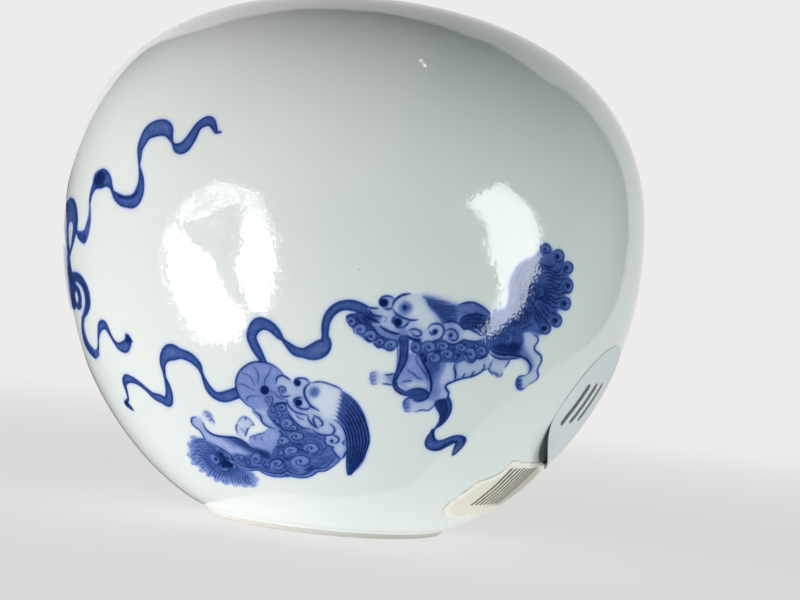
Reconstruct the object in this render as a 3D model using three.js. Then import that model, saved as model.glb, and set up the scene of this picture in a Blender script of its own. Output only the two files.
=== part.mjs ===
import * as THREE from 'three';

// Driving dimensions in millimetres and degrees.
// The pot stands on z = 0 with its axis on Z, and its painted front faces -Y.
const bodyRadius = 40;
const bellyHeight = 39.5;
const shoulderRise = 32;
const shoulderFullness = 2.45;
const footRadius = 16.7;
const footTaper = 0.5;
const footEdgeHeight = 0.9;
const footRingWidth = 3.8;
const footBoreTaper = 0.3;
const baseRecess = 2.3;
const recessShoulder = 0.8;
const floorThickness = 2.9;
const wall = 2.8;
const mouthRadius = 13.5;
const footFlareAngle = 77;
const footFlareReach = 6;
const bellyReach = 23.5;

// The two pieces of paper that still stick to the glaze.
// Climb is the distance up the wall from the foot to the paper's middle.
const paperThickness = 0.2;
const paperGap = 0.3;
const stickerDiameter = 18.7;
const stickerAzimuth = -23;
const stickerClimb = 26.8;
const labelAzimuth = -33;
const labelClimb = 11.2;
// Reaches of the torn label's edge from its middle, at even turns from its right side up.
const tornReaches = [10.5, 9.5, 7.4, 6.0, 5.5, 6.0, 8.8, 9, 8.4, 8.1, 7, 6.2, 5.9, 6.3, 7.6, 9.6];

// Fineness of the faceted surfaces.
const turnSteps = 80;
const wallSteps = 15;
const footSteps = 4;
const lipSteps = 6;
const paperSteps = 32;
const paperRings = 4;

const footBore = footRadius - footRingWidth;
const radians = THREE.MathUtils.degToRad;

// The lower half's outside, from the foot up to the belly.
function lowerCurve() {
  const flare = radians(footFlareAngle);
  const start = new THREE.Vector2(footRadius, footEdgeHeight);
  const leaveFoot = new THREE.Vector2(
    footRadius + footFlareReach * Math.sin(flare),
    footEdgeHeight + footFlareReach * Math.cos(flare),
  );
  const reachBelly = new THREE.Vector2(bodyRadius, bellyHeight - bellyReach);
  const belly = new THREE.Vector2(bodyRadius, bellyHeight);
  return new THREE.CubicBezierCurve(start, leaveFoot, reachBelly, belly);
}

// A point of the shoulder and its outward direction, for an angle that is 0 at the belly.
function shoulderAt(angle) {
  const power = 2 / shoulderFullness;
  const across = Math.cos(angle) ** power;
  const up = Math.sin(angle) ** power;
  const normal = new THREE.Vector2(
    across ** (shoulderFullness - 1) / bodyRadius,
    up ** (shoulderFullness - 1) / shoulderRise,
  ).normalize();
  const point = new THREE.Vector2(bodyRadius * across, bellyHeight + shoulderRise * up);
  return { point, normal };
}

// The angle at which the shoulder turns over into the rolled lip.
function lipAngle() {
  const lipCentre = mouthRadius + wall / 2;
  let low = 0;
  let high = Math.PI / 2;
  for (let step = 0; step < 50; step += 1) {
    const middle = (low + high) / 2;
    const { point, normal } = shoulderAt(middle);
    if (point.x - (wall / 2) * normal.x > lipCentre) {
      low = middle;
    } else {
      high = middle;
    }
  }
  return low;
}

// A point of a wall's outside and its outward direction, for a share of its length.
function placeOn(curve, share) {
  const point = curve.getPointAt(share);
  const tangent = curve.getTangentAt(share);
  return { point, normal: new THREE.Vector2(tangent.y, -tangent.x) };
}

// A lathe profile closes on itself or runs from axis to axis, counter-clockwise.
function turned(profile) {
  return new THREE.LatheGeometry(profile, turnSteps).rotateX(Math.PI / 2);
}

// The share of the lower curve's length at which the base's underside meets it.
function baseShare(curve) {
  let low = 0;
  let high = 1;
  for (let step = 0; step < 50; step += 1) {
    const middle = (low + high) / 2;
    if (curve.getPointAt(middle).y < baseRecess) {
      low = middle;
    } else {
      high = middle;
    }
  }
  return high;
}

function lowerBodyGeometry() {
  const curve = lowerCurve();
  const start = baseShare(curve);
  const floorTop = baseRecess + floorThickness;
  const outside = [];
  const inside = [];
  for (let step = 0; step <= wallSteps; step += 1) {
    const share = THREE.MathUtils.lerp(start, 1, step / wallSteps);
    const { point, normal } = placeOn(curve, share);
    const innerPoint = point.clone().addScaledVector(normal, -wall);
    // The joint's face stays flat at the belly.
    innerPoint.y = Math.min(innerPoint.y, bellyHeight);
    if (innerPoint.y > floorTop) {
      inside.push(innerPoint);
    }
    outside.push(point);
  }
  outside[0].y = baseRecess;
  return turned([
    new THREE.Vector2(0, baseRecess),
    ...outside,
    ...inside.reverse(),
    new THREE.Vector2(footBore, floorTop),
    new THREE.Vector2(0, floorTop),
  ]);
}

function upperBodyGeometry() {
  const top = lipAngle();
  const outside = [];
  const inside = [];
  for (let step = 0; step <= wallSteps; step += 1) {
    const share = step / wallSteps;
    const { point, normal } = shoulderAt(top * (1 - (1 - share) ** 1.15));
    outside.push(point);
    inside.push(point.clone().addScaledVector(normal, -wall));
  }
  const { point, normal } = shoulderAt(top);
  const lipCentre = point.clone().addScaledVector(normal, -wall / 2);
  const startAngle = Math.atan2(normal.y, normal.x);
  const lip = [];
  for (let step = 1; step < lipSteps; step += 1) {
    const angle = startAngle + (Math.PI * step) / lipSteps;
    const edge = new THREE.Vector2(Math.cos(angle), Math.sin(angle));
    lip.push(lipCentre.clone().addScaledVector(edge, wall / 2));
  }
  return turned([...outside, ...lip, ...inside.reverse(), outside[0].clone()]);
}

// The turned foot, from its standing face to the underside of the base.
function footRingGeometry() {
  const curve = lowerCurve();
  const end = baseShare(curve);
  const outside = [];
  for (let step = 0; step <= footSteps; step += 1) {
    outside.push(curve.getPointAt((end * step) / footSteps));
  }
  outside[footSteps].y = baseRecess;
  return turned([
    new THREE.Vector2(footBore + footBoreTaper, 0),
    new THREE.Vector2(footRadius - footTaper, 0),
    ...outside,
    new THREE.Vector2(footBore - recessShoulder, baseRecess),
    new THREE.Vector2(footBore + footBoreTaper, 0),
  ]);
}

// Paper pressed on the curved wall. reachAt gives its edge's distance for an angle round it.
function paperGeometry(azimuth, climb, reachAt) {
  const profile = [];
  for (let ring = 0; ring <= paperRings; ring += 1) {
    profile.push(new THREE.Vector2(ring / paperRings, 0));
  }
  for (let ring = paperRings; ring >= 0; ring -= 1) {
    profile.push(new THREE.Vector2(ring / paperRings, paperThickness));
  }
  const geometry = new THREE.LatheGeometry(profile, paperSteps);
  const corners = geometry.getAttribute('position');
  const curve = lowerCurve();
  const wallLength = curve.getLength();
  for (let index = 0; index < corners.count; index += 1) {
    const across = corners.getX(index);
    const up = corners.getZ(index);
    const reach = reachAt(Math.atan2(up, across));
    const share = (climb + up * reach) / wallLength;
    const { point, normal } = placeOn(curve, THREE.MathUtils.clamp(share, 0, 1));
    const turn = radians(azimuth) + (across * reach) / point.x;
    const lift = paperGap + paperThickness - corners.getY(index);
    const radius = point.x + normal.x * lift;
    const height = point.y + normal.y * lift;
    corners.setXYZ(index, radius * Math.cos(turn), radius * Math.sin(turn), height);
  }
  return geometry;
}

function roundStickerGeometry() {
  return paperGeometry(stickerAzimuth, stickerClimb, () => stickerDiameter / 2);
}

function labelRemnantGeometry() {
  return paperGeometry(labelAzimuth, labelClimb, (angle) => {
    const turn = ((angle / (2 * Math.PI) + 1) % 1) * tornReaches.length;
    const index = Math.floor(turn);
    const next = tornReaches[(index + 1) % tornReaches.length];
    return THREE.MathUtils.lerp(tornReaches[index], next, turn - index);
  });
}

const glazedPorcelain = { color: 0xdfe5e2, roughness: 0.08, metalness: 0 };
const bareBiscuit = { color: 0xc9b79c, roughness: 0.85, metalness: 0 };
const bluePaper = { color: 0xaebfd0, roughness: 0.75, metalness: 0 };
const creamPaper = { color: 0xe3dccb, roughness: 0.7, metalness: 0 };

function namedMesh(name, geometry, finish) {
  const mesh = new THREE.Mesh(geometry, new THREE.MeshStandardMaterial(finish));
  mesh.name = name;
  return mesh;
}

const waterPot = new THREE.Group();
waterPot.name = 'water_pot';
waterPot.add(
  namedMesh('lower_body', lowerBodyGeometry(), glazedPorcelain),
  namedMesh('upper_body', upperBodyGeometry(), glazedPorcelain),
  namedMesh('foot_ring', footRingGeometry(), bareBiscuit),
  namedMesh('round_sticker', roundStickerGeometry(), bluePaper),
  namedMesh('label_remnant', labelRemnantGeometry(), creamPaper),
);

export default waterPot;
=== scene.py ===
import math

import bpy
import bmesh
import numpy as np
from mathutils import Matrix, Quaternion, Vector


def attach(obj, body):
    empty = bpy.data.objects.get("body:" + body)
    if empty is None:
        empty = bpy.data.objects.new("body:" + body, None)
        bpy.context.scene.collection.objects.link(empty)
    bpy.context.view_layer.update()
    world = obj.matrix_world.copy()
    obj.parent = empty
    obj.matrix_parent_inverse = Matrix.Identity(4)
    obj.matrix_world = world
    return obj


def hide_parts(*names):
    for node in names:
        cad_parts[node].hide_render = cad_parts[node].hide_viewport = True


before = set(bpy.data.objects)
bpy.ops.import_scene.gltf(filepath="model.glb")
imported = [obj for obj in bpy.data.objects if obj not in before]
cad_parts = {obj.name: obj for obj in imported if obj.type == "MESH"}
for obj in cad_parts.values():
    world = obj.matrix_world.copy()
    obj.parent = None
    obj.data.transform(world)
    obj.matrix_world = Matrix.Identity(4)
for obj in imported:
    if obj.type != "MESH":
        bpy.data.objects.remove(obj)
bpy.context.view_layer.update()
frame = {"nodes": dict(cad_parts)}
print("frame loaded:", ", ".join(frame["nodes"]))

mm = 0.001

# The thrown pot, in millimetres, with the same sizes as its solids.
pot = {
    "bodyRadius": 40.0,
    "bellyHeight": 39.5,
    "shoulderRise": 32.0,
    "shoulderFullness": 2.45,
    "shoulderSpread": 1.15,
    "footRadius": 16.7,
    "footTaper": 0.5,
    "footEdgeHeight": 0.9,
    "footRingWidth": 3.8,
    "footBoreTaper": 0.3,
    "baseRecess": 2.3,
    "recessShoulder": 0.8,
    "floorThickness": 2.9,
    "wall": 2.8,
    "mouthRadius": 13.5,
    "footFlareAngle": 77.0,
    "footFlareReach": 6.0,
    "bellyReach": 23.5,
}
pot["footBore"] = pot["footRadius"] - pot["footRingWidth"]


def lowerLine(share):  # the wall from the foot's edge to the belly, for shares from 0 to 1
    flare = math.radians(pot["footFlareAngle"])
    start = np.array([pot["footRadius"], pot["footEdgeHeight"]])
    belly = np.array([pot["bodyRadius"], pot["bellyHeight"]])
    leaveFoot = start + pot["footFlareReach"] * np.array([math.sin(flare), math.cos(flare)])
    reachBelly = belly - np.array([0, pot["bellyReach"]])
    rest = 1 - share
    return (
        rest**3 * start
        + 3 * rest**2 * share * leaveFoot
        + 3 * rest * share**2 * reachBelly
        + share**3 * belly
    )


def shoulderLine(angle):  # the wall from the belly up, with its outward direction
    power = 2 / pot["shoulderFullness"]
    across, up = np.cos(angle) ** power, np.sin(angle) ** power
    slope = pot["shoulderFullness"] - 1
    outward = np.hstack([across**slope / pot["bodyRadius"], up**slope / pot["shoulderRise"]])
    outward /= np.linalg.norm(outward, axis=1, keepdims=True)
    place = np.hstack([pot["bodyRadius"] * across, pot["bellyHeight"] + pot["shoulderRise"] * up])
    return place, outward


def findShare(isLow, low, high, halvings=50):  # halves the span until the change-over is found
    for _ in range(halvings):
        middle = (low + high) / 2
        if isLow(middle):
            low = middle
        else:
            high = middle
    return (low + high) / 2


def beforeLip(angle):
    place, outward = shoulderLine(np.array([[angle]]))
    return place[0, 0] - pot["wall"] / 2 * outward[0, 0] > pot["mouthRadius"] + pot["wall"] / 2


lipAngle = findShare(beforeLip, 0, math.pi / 2)


def outsideLine(steps=3000):  # radius, height and outward direction up the whole outside
    lower = lowerLine(np.linspace(0, 1, steps)[:, None])
    along = np.gradient(lower, axis=0)
    lowerOut = np.stack([along[:, 1], -along[:, 0]], axis=1)
    lowerOut /= np.linalg.norm(lowerOut, axis=1, keepdims=True)
    lowerOut[-1] = 1, 0
    spread = 1 - (1 - np.linspace(0, 1, steps)) ** pot["shoulderSpread"]
    upper, upperOut = shoulderLine(lipAngle * spread[1:, None])
    return np.vstack([lower, upper]), np.vstack([lowerOut, upperOut])


def lengthsAlong(line):  # the distance from a line's start to each of its points
    return np.concatenate([[0], np.cumsum(np.linalg.norm(np.diff(line, axis=0), axis=1))])


outside, outsideOut = outsideLine()
arcAt = lengthsAlong(outside)
bellyArc = float(np.interp(pot["bellyHeight"], outside[:, 1], arcAt))
baseArc = float(np.interp(pot["baseRecess"], outside[:, 1], arcAt))
lipArc = float(arcAt[-1])
print("wall is %.1f mm from foot to lip" % lipArc)


def wallAt(arc):  # radius and height of the outside, a distance up the wall from the foot's edge
    return np.interp(arc, arcAt, outside[:, 0]), np.interp(arc, arcAt, outside[:, 1])


def outwardAt(arc):
    across = np.interp(arc, arcAt, outsideOut[:, 0])
    up = np.interp(arc, arcAt, outsideOut[:, 1])
    length = np.hypot(across, up)
    return across / length, up / length


# Azimuth is measured from the painted front, -Y, and grows towards +X.
def roundAt(azimuth, radius, height):
    return np.stack([radius * np.sin(azimuth), -radius * np.cos(azimuth), height], axis=-1)


def placed(name, data):  # puts a new object into the scene
    thing = bpy.data.objects.new(name, data)
    bpy.context.scene.collection.objects.link(thing)
    return thing


# Where the picture was taken from: millimetres and degrees, with the picture's size in pixels.
eye = {
    "distance": 210.63,
    "target": 36.0,
    "elevation": -2.99,
    "yaw": -1.934,
    "pitch": -1.181,
    "roll": -5.94,
    "lens": 67.5,
    "sensor": 36.0,
    "wide": 800,
    "high": 600,
}


def eyeAxes():
    rise = math.radians(eye["elevation"])
    back = Vector((0, -math.cos(rise), math.sin(rise)))
    place = Vector((0, 0, eye["target"])) + back * eye["distance"]
    ahead, right = -back, Vector((1, 0, 0))
    up = right.cross(ahead)
    turn = Quaternion(up, math.radians(eye["yaw"]))
    ahead, right = turn @ ahead, turn @ right
    tilt = Quaternion(right, math.radians(eye["pitch"]))
    ahead, up = tilt @ ahead, tilt @ up
    lean = Quaternion(ahead, math.radians(eye["roll"]))
    return place, lean @ right, lean @ up, ahead


def makeCamera():
    place, right, up, ahead = eyeAxes()
    data = bpy.data.cameras.new("camera")
    data.lens, data.sensor_width = eye["lens"], eye["sensor"]
    camera = placed("camera", data)
    turn = Matrix((right, up, -ahead)).transposed().to_4x4()
    camera.matrix_world = Matrix.Translation(place * mm) @ turn
    bpy.context.scene.camera = camera


makeCamera()

# How a ray of the eye is followed: it starts this many radii before the axis, is probed at even
# steps, and the step that enters the wall is halved.
follow = {"startRadii": 1.2, "probes": 60, "halvings": 24}


def touchWall(across, down):  # picture pixels to azimuth, distance up the wall and pixels per mm
    place, right, up, ahead = (np.array(axis) for axis in eyeAxes())
    focal = eye["lens"] / eye["sensor"] * eye["wide"]
    sideways = (np.asarray(across, float) - eye["wide"] / 2) / focal
    upwards = (eye["high"] / 2 - np.asarray(down, float)) / focal
    ray = ahead + sideways[:, None] * right + upwards[:, None] * up
    flat = np.hypot(ray[:, 0], ray[:, 1])
    nearest = -(place[0] * ray[:, 0] + place[1] * ray[:, 1]) / flat**2
    first = nearest - follow["startRadii"] * pot["bodyRadius"] / flat

    def clearance(reach):
        points = place[:, None, None] + ray.T[:, :, None] * reach
        inside = (points[2] > outside[0, 1]) & (points[2] < outside[-1, 1])
        radius = np.interp(points[2], outside[:, 1], outside[:, 0])
        return np.hypot(points[0], points[1]) - np.where(inside, radius, 0)

    shares = np.linspace(0, 1, follow["probes"])
    reach = first[:, None] + (nearest - first)[:, None] * shares
    gaps = clearance(reach)
    hit = np.where((gaps < 0).any(axis=1), (gaps < 0).argmax(axis=1), gaps.argmin(axis=1))
    hit = np.maximum(hit, 1)
    rows = np.arange(len(hit))
    low, high = reach[rows, hit - 1], reach[rows, hit]
    for _ in range(follow["halvings"]):
        middle = (low + high) / 2
        within = clearance(middle[:, None])[:, 0] < 0
        low, high = np.where(within, low, middle), np.where(within, middle, high)
    point = place[:, None] + ray.T * high
    azimuth = np.arctan2(point[0], -point[1])
    return azimuth, np.interp(point[2], outside[:, 1], arcAt), focal / high


# The painting is worked out on a flat sheet wrapped round the wall: azimuth by distance up.
sheet = {
    "turnSteps": 3840,
    "arcStep": 0.07,
    "softEdge": 0.11,
    "pathStep": 1.3,
    "fine": 0.7,
    "lineMargin": 0.4,
    "washMargin": 0.2,
    "farAway": 9.0,
}
sheet["turnStep"] = 2 * math.pi / sheet["turnSteps"]
sheetRows = int(lipArc / sheet["arcStep"]) + 2
ink = np.zeros((sheetRows, sheet["turnSteps"]), np.float32)
rowRadius = wallAt(np.arange(sheetRows) * sheet["arcStep"])[0]


def readPath(text):  # "x,y x,y" or "x,y,w x,y,w"
    return np.array([[float(number) for number in point.split(",")] for point in text.split()])


def smoothPath(points, step, closed=False):  # a curve through the points, with even steps
    count = len(points)
    if closed:
        points = np.vstack([points[-1:], points, points[:2]])
    elif count > 2:
        points = np.vstack([2 * points[0] - points[1], points, 2 * points[-1] - points[-2]])
    else:
        points = np.vstack([points[:1], points, points[-1:]])
    curve = []
    for index in range(1, len(points) - 2):
        before, start, end, after = points[index - 1 : index + 3]
        length = np.linalg.norm(end[:2] - start[:2])
        steps = max(1, int(math.ceil(length / step)))
        t = np.arange(steps)[:, None] / steps
        curve.append(
            0.5
            * (
                2 * start
                + (end - before) * t
                + (2 * before - 5 * start + 4 * end - after) * t**2
                + (3 * start - before - 3 * end + after) * t**3
            )
        )
    if not closed:
        curve.append(points[-2:-1])
    return np.vstack(curve)


# How the marks are shaped, in shares of a mark's own length or radius, and a ribbon's dark edge.
habit = {
    "ribbonTone": 0.45,
    "ribbonEdgeTone": 1.25,
    "ribbonEdgeFade": 0.15,
    "ribbonThick": 1.32,
    "ballSeams": 9,
    "taperShare": 0.22,
    "seamReach": (0.25, 0.6, 0.94),
    "seamBend": (0, 0.3, 0.5),
    "ballHub": 0.36,
    "curlSquash": 0.13,
    "curlRimTurns": 0.55,
    "curlWindIn": 0.86,
    "curlHeart": 0.26,
    "hairShortest": 0.84,
    "hairLonger": 0.26,
}


class Brush:  # paints in one group's own coordinates: a corner of the picture and steps per pixel
    def __init__(self, left, top, zoom, turn=0.0):
        self.left, self.top, self.zoom, self.turn = left, top, zoom, turn

    def onWall(self, points):  # azimuth, distance up the wall, pixels per mm
        across = self.left + points[:, 0] / self.zoom
        down = self.top + points[:, 1] / self.zoom
        azimuth, arc, scale = touchWall(across, down)
        return azimuth + self.turn, arc, scale

    def box(self, azimuth, arc, margin):  # the rows and columns of the sheet that a mark may touch
        low = max(0, int((arc.min() - margin) / sheet["arcStep"]))
        high = min(sheetRows, int((arc.max() + margin) / sheet["arcStep"]) + 2)
        side = margin / rowRadius[low:high].min()
        left = int(math.floor((azimuth.min() - side) / sheet["turnStep"]))
        right = int(math.ceil((azimuth.max() + side) / sheet["turnStep"])) + 1
        return np.arange(low, high), np.arange(left, right)

    def reach(self, points, widths):  # distance to the mark's edge, less than 0 inside it
        azimuth, arc, scale = self.onWall(points)
        half = widths * sheet["fine"] / scale / 2
        rows, columns = self.box(azimuth, arc, half.max() + sheet["lineMargin"])
        away = np.full((len(rows), len(columns)), sheet["farAway"], np.float32)
        perStep = sheet["turnStep"]
        for index in range(max(1, len(arc) - 1)):
            end = min(index + 1, len(arc) - 1)
            nearArc = (arc[[index, end]].min(), arc[[index, end]].max())
            nearTurn = (azimuth[[index, end]].min(), azimuth[[index, end]].max())
            margin = max(half[index], half[end]) + sheet["lineMargin"]
            r0 = max(0, int((nearArc[0] - margin) / sheet["arcStep"]) - rows[0])
            r1 = int((nearArc[1] + margin) / sheet["arcStep"]) + 2 - rows[0]
            radius = np.interp((nearArc[0] + nearArc[1]) / 2, arcAt, outside[:, 0])
            side = margin / radius
            c0 = max(0, int((nearTurn[0] - side) / perStep - 1) - columns[0])
            c1 = int((nearTurn[1] + side) / perStep) + 2 - columns[0]
            up = (rows[r0:r1] * sheet["arcStep"] - arc[index])[:, None]
            over = ((columns[c0:c1] * perStep - azimuth[index]) * radius)[None, :]
            dUp = arc[end] - arc[index]
            dOver = (azimuth[end] - azimuth[index]) * radius
            length = dUp**2 + dOver**2
            share = np.clip((up * dUp + over * dOver) / max(length, 1e-9), 0, 1)
            gap = np.hypot(over - share * dOver, up - share * dUp)
            gap -= half[index] + share * (half[end] - half[index])
            patch = away[r0:r1, c0:c1]
            np.minimum(patch, gap, out=patch)
        return rows, columns, away

    def put(self, rows, columns, cover, tone, over):
        wrapped = np.ix_(rows, columns % sheet["turnSteps"])
        if over:
            ink[wrapped] = ink[wrapped] * (1 - cover) + tone * cover
        else:
            ink[wrapped] = np.maximum(ink[wrapped], tone * cover)

    def line(self, path, width=2.2, tone=0.95, over=False, taper=0.35, closed=False):
        points = readPath(path) if isinstance(path, str) else path
        curve = smoothPath(points, sheet["pathStep"] * self.zoom, closed)
        if curve.shape[1] == 3:
            widths = curve[:, 2]
        else:
            along = np.linspace(0, 1, len(curve))
            ends = np.minimum(along, 1 - along) / habit["taperShare"]
            widths = width * (taper + (1 - taper) * np.clip(ends, 0, 1))
        rows, columns, away = self.reach(curve[:, :2], widths)
        cover = np.clip(0.5 - away / sheet["softEdge"], 0, 1)
        self.put(rows, columns, cover, tone, over)

    def ribbon(self, path, thick=habit["ribbonThick"]):  # a band with a darker edge
        curve = smoothPath(readPath(path), sheet["pathStep"] * self.zoom)
        rows, columns, away = self.reach(curve[:, :2], curve[:, 2] * thick / sheet["fine"])
        cover = np.clip(0.5 - away / sheet["softEdge"], 0, 1)
        tone, edgeTone = habit["ribbonTone"], habit["ribbonEdgeTone"]
        fade = np.exp(-np.clip(-away, 0, sheet["farAway"]) / habit["ribbonEdgeFade"])
        self.put(rows, columns, cover, tone + (edgeTone - tone) * fade, True)

    def wash(self, path, tone, over=True, blend=0.0):  # a filled outline
        points = readPath(path) if isinstance(path, str) else path
        points = smoothPath(points, sheet["pathStep"] * self.zoom * 2, True)
        azimuth, arc, _ = self.onWall(points)
        rows, columns = self.box(azimuth, arc, sheet["washMargin"])
        x = columns * sheet["turnStep"]
        y = (rows * sheet["arcStep"])[:, None]
        inside = np.zeros((len(rows), len(columns)), bool)
        for index in range(len(arc)):
            x0, y0, x1, y1 = azimuth[index - 1], arc[index - 1], azimuth[index], arc[index]
            if y0 == y1:
                continue
            spans = (y0 > y) != (y1 > y)
            inside ^= spans & (x < x0 + (y - y0) * (x1 - x0) / (y1 - y0))
        cover = inside.astype(np.float32)
        if blend:
            cover = blurred(cover, blend)
        self.put(rows, columns, cover, tone, over)

    def circle(self, x, y, radius, count):
        angles = np.arange(count) * 2 * math.pi / count
        return np.stack([x + radius * np.cos(angles), y + radius * np.sin(angles)], axis=1)

    def dot(self, place, tone=0.95, over=False):
        x, y, radius = readPath(place)[0]
        ring = self.circle(x, y, radius / 2, 8)
        self.wash(ring, tone, over)
        self.line(ring, radius / self.zoom, tone, over, 1.0, True)

    # A brocade ball: a filled round with a hub, and seams that bend on their way to its edge.
    def ball(self, place, fill=0.42):
        x, y, radius = readPath(place)[0]
        rim = self.circle(x, y, radius, 24)
        self.wash(rim, fill)
        self.line(rim, 2.6, 1.0, taper=1.0, closed=True)
        reach = radius * np.array(habit["seamReach"])
        for start in np.arange(habit["ballSeams"]) * 2 * math.pi / habit["ballSeams"]:
            angles = start + np.array(habit["seamBend"])
            seam = np.stack([x + reach * np.cos(angles), y + reach * np.sin(angles)], axis=1)
            self.line(seam, 2.0, 0.85)
        self.dot("%f,%f,%f" % (x, y, radius * habit["ballHub"]))

    # One lock of the coat: a pale round with a dark rim, and a hook that winds in to its heart.
    def curl(self, place, turns=1.35, fill=0.38, rim=0.92, width=1.9, long=1.0):
        x, y, radius, start = readPath(place)[0]
        wide, high = (1 + habit["curlSquash"] * math.sin(place) for place in (x, y))
        squash = np.array([long * wide, high / long])
        self.wash((self.circle(0, 0, radius, 14) * squash) + (x, y), fill)
        angles = math.radians(start) + np.linspace(0, turns * 2 * math.pi, 26)
        rimTurns = habit["curlRimTurns"]
        shrink = np.clip((np.linspace(0, turns, 26) - rimTurns) / (turns - rimTurns), 0, 1)
        radii = (radius * (1 - habit["curlWindIn"] * shrink))[:, None]
        path = radii * np.stack([np.cos(angles), np.sin(angles)], axis=1) * squash + (x, y)
        self.line(path, width, rim)
        self.dot("%g,%g,%g" % (x, y, radius * habit["curlHeart"]), rim)

    def hair(self, guides, count, width=1.8, tone=0.85, bow=0.0, over=False):  # strands between guides
        first, last = (smoothPath(readPath(guide), 4) for guide in guides.split("|"))
        for index in range(count):
            share = index / max(1, count - 1)
            root = first[int(share * (len(first) - 1))]
            tip = last[int(share * (len(last) - 1))]
            uneven = math.sin(index * 12.99) * 43.7 % 1
            tip = root + (tip - root) * (habit["hairShortest"] + habit["hairLonger"] * uneven)
            aside = np.array([root[1] - tip[1], tip[0] - root[0]]) * bow
            self.line(np.stack([root, (root + tip) / 2 + aside, tip]), width, tone, over)

    def locks(self, guides, count, width=1.5, tone=1.0, over=False):  # strands side by side
        first, last = (smoothPath(readPath(guide), 4) for guide in guides.split("|"))
        along = np.linspace(0, 1, 24)
        first, last = (guide[(along * (len(guide) - 1)).astype(int)] for guide in (first, last))
        for share in np.linspace(0, 1, count):
            self.line(first * (1 - share) + last * share, width, tone, over)


def blurred(picture, spread):  # a Gaussian softening, with the spread in steps of the sheet
    reach = int(math.ceil(3 * spread))
    weights = np.exp(-0.5 * (np.arange(-reach, reach + 1) / spread) ** 2)
    weights /= weights.sum()
    for axis in (0, 1):
        total = np.zeros_like(picture)
        for shift, weight in zip(range(-reach, reach + 1), weights):
            total += weight * np.roll(picture, shift, axis)
        picture = total
    return picture


# Ribbons: points across, down and width, in pixels of the picture.
ribbons = {
    "upperLeft": "221.4,132.1,1 216.3,132.1,2.5 215,128.9,4 211.8,122.5,6.5 206.7,121.2,8 198.4,126.3,7"
    " 191.4,137.8,9 184.4,146.7,10 177.3,148,7 172.9,143.5,2 170.3,136.5,5 167.8,130.2,10 162,127.6,13"
    " 154.4,128.9,13.5 148,132.7,12 142.9,141.6,9 140.1,149.3,6 139.7,157,4 139.3,165.9,1.5"
    " 140.6,173.5,3.5 141,182.4,6.5 139.1,192.7,10 134.6,200.3,11 127.6,201.6,9 121.2,200.3,8"
    " 116.1,196.5,6 112.9,192,3 111,186.3,4 107.8,180.5,9 101.5,178.6,15 96.4,182.4,10 92.5,190,6"
    " 90.4,197.8,4 89.6,206.7,2 89.1,216.9,3.5 86.8,228.4,6 83.6,237.3,7 79.1,236,5 75.9,229.6,3",
    "thin": "85,341.9,3.5 90,351.4,5 94.5,355,6 97.4,352,4 98.4,346.3,2 98.4,336,2.5 100.3,326.5,6.5"
    " 104.7,325,7 109.1,332.3,4 113.5,340.4,3 118.7,346.3,6 124.5,347,9 128.2,341.9,7 127.5,336.7,4.5"
    " 132.6,341.9,1",
    "lowerLeft": "237,393,9 224.3,396.9,9 215.5,395.4,7 208.9,388.8,6 204.5,380,3.5 201.6,372.7,2.5"
    " 197.9,364.6,6 189.8,357.3,8 180.3,353.6,8.5 171.5,352.1,13 164.9,356.5,9 162.7,363.9,5.5"
    " 163.9,371.2,3 164.9,377,2.5 167.8,385.9,5 169.3,394.7,7 167.8,402,8 161.2,399,8 153.9,396,6"
    " 147.3,390.3,4 141.4,385.2,4 134.8,380.8,5 127.5,378.6,7 124.5,383,5 126.7,391.8,3 128.2,399,2"
    " 125.3,403.5,3 130.4,407.2,5 133.3,410,1.5",
    "hanging": "441,400,13 444.5,407,12 445,414.6,8 441.5,423,3.5 434.5,429.5,1.2 431.5,436,4.5"
    " 431,442.5,9 437,446.5,9 446,444,6.5 455,439.5,7 461.5,440.5,7.5 460,446,6 454.5,453.5,3",
}
# The band that runs from one ball to the next lion's mouth, on a closer view of that place.
bridge = {
    "left": 235,
    "top": 295,
    "zoom": 11.2,
    "band": "325,750,60 265,650,100 215,560,110 185,470,115 205,390,130 270,325,150 350,330,125"
    " 430,380,105 490,450,80 535,500,38 600,565,70 680,630,110 780,650,120 880,640,190 960,600,200"
    " 1015,540,130 1010,460,75 1010,400,80 1020,310,90 1060,220,100 1130,150,105 1220,115,110"
    " 1330,120,120 1430,155,115 1500,190,90",
}


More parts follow.
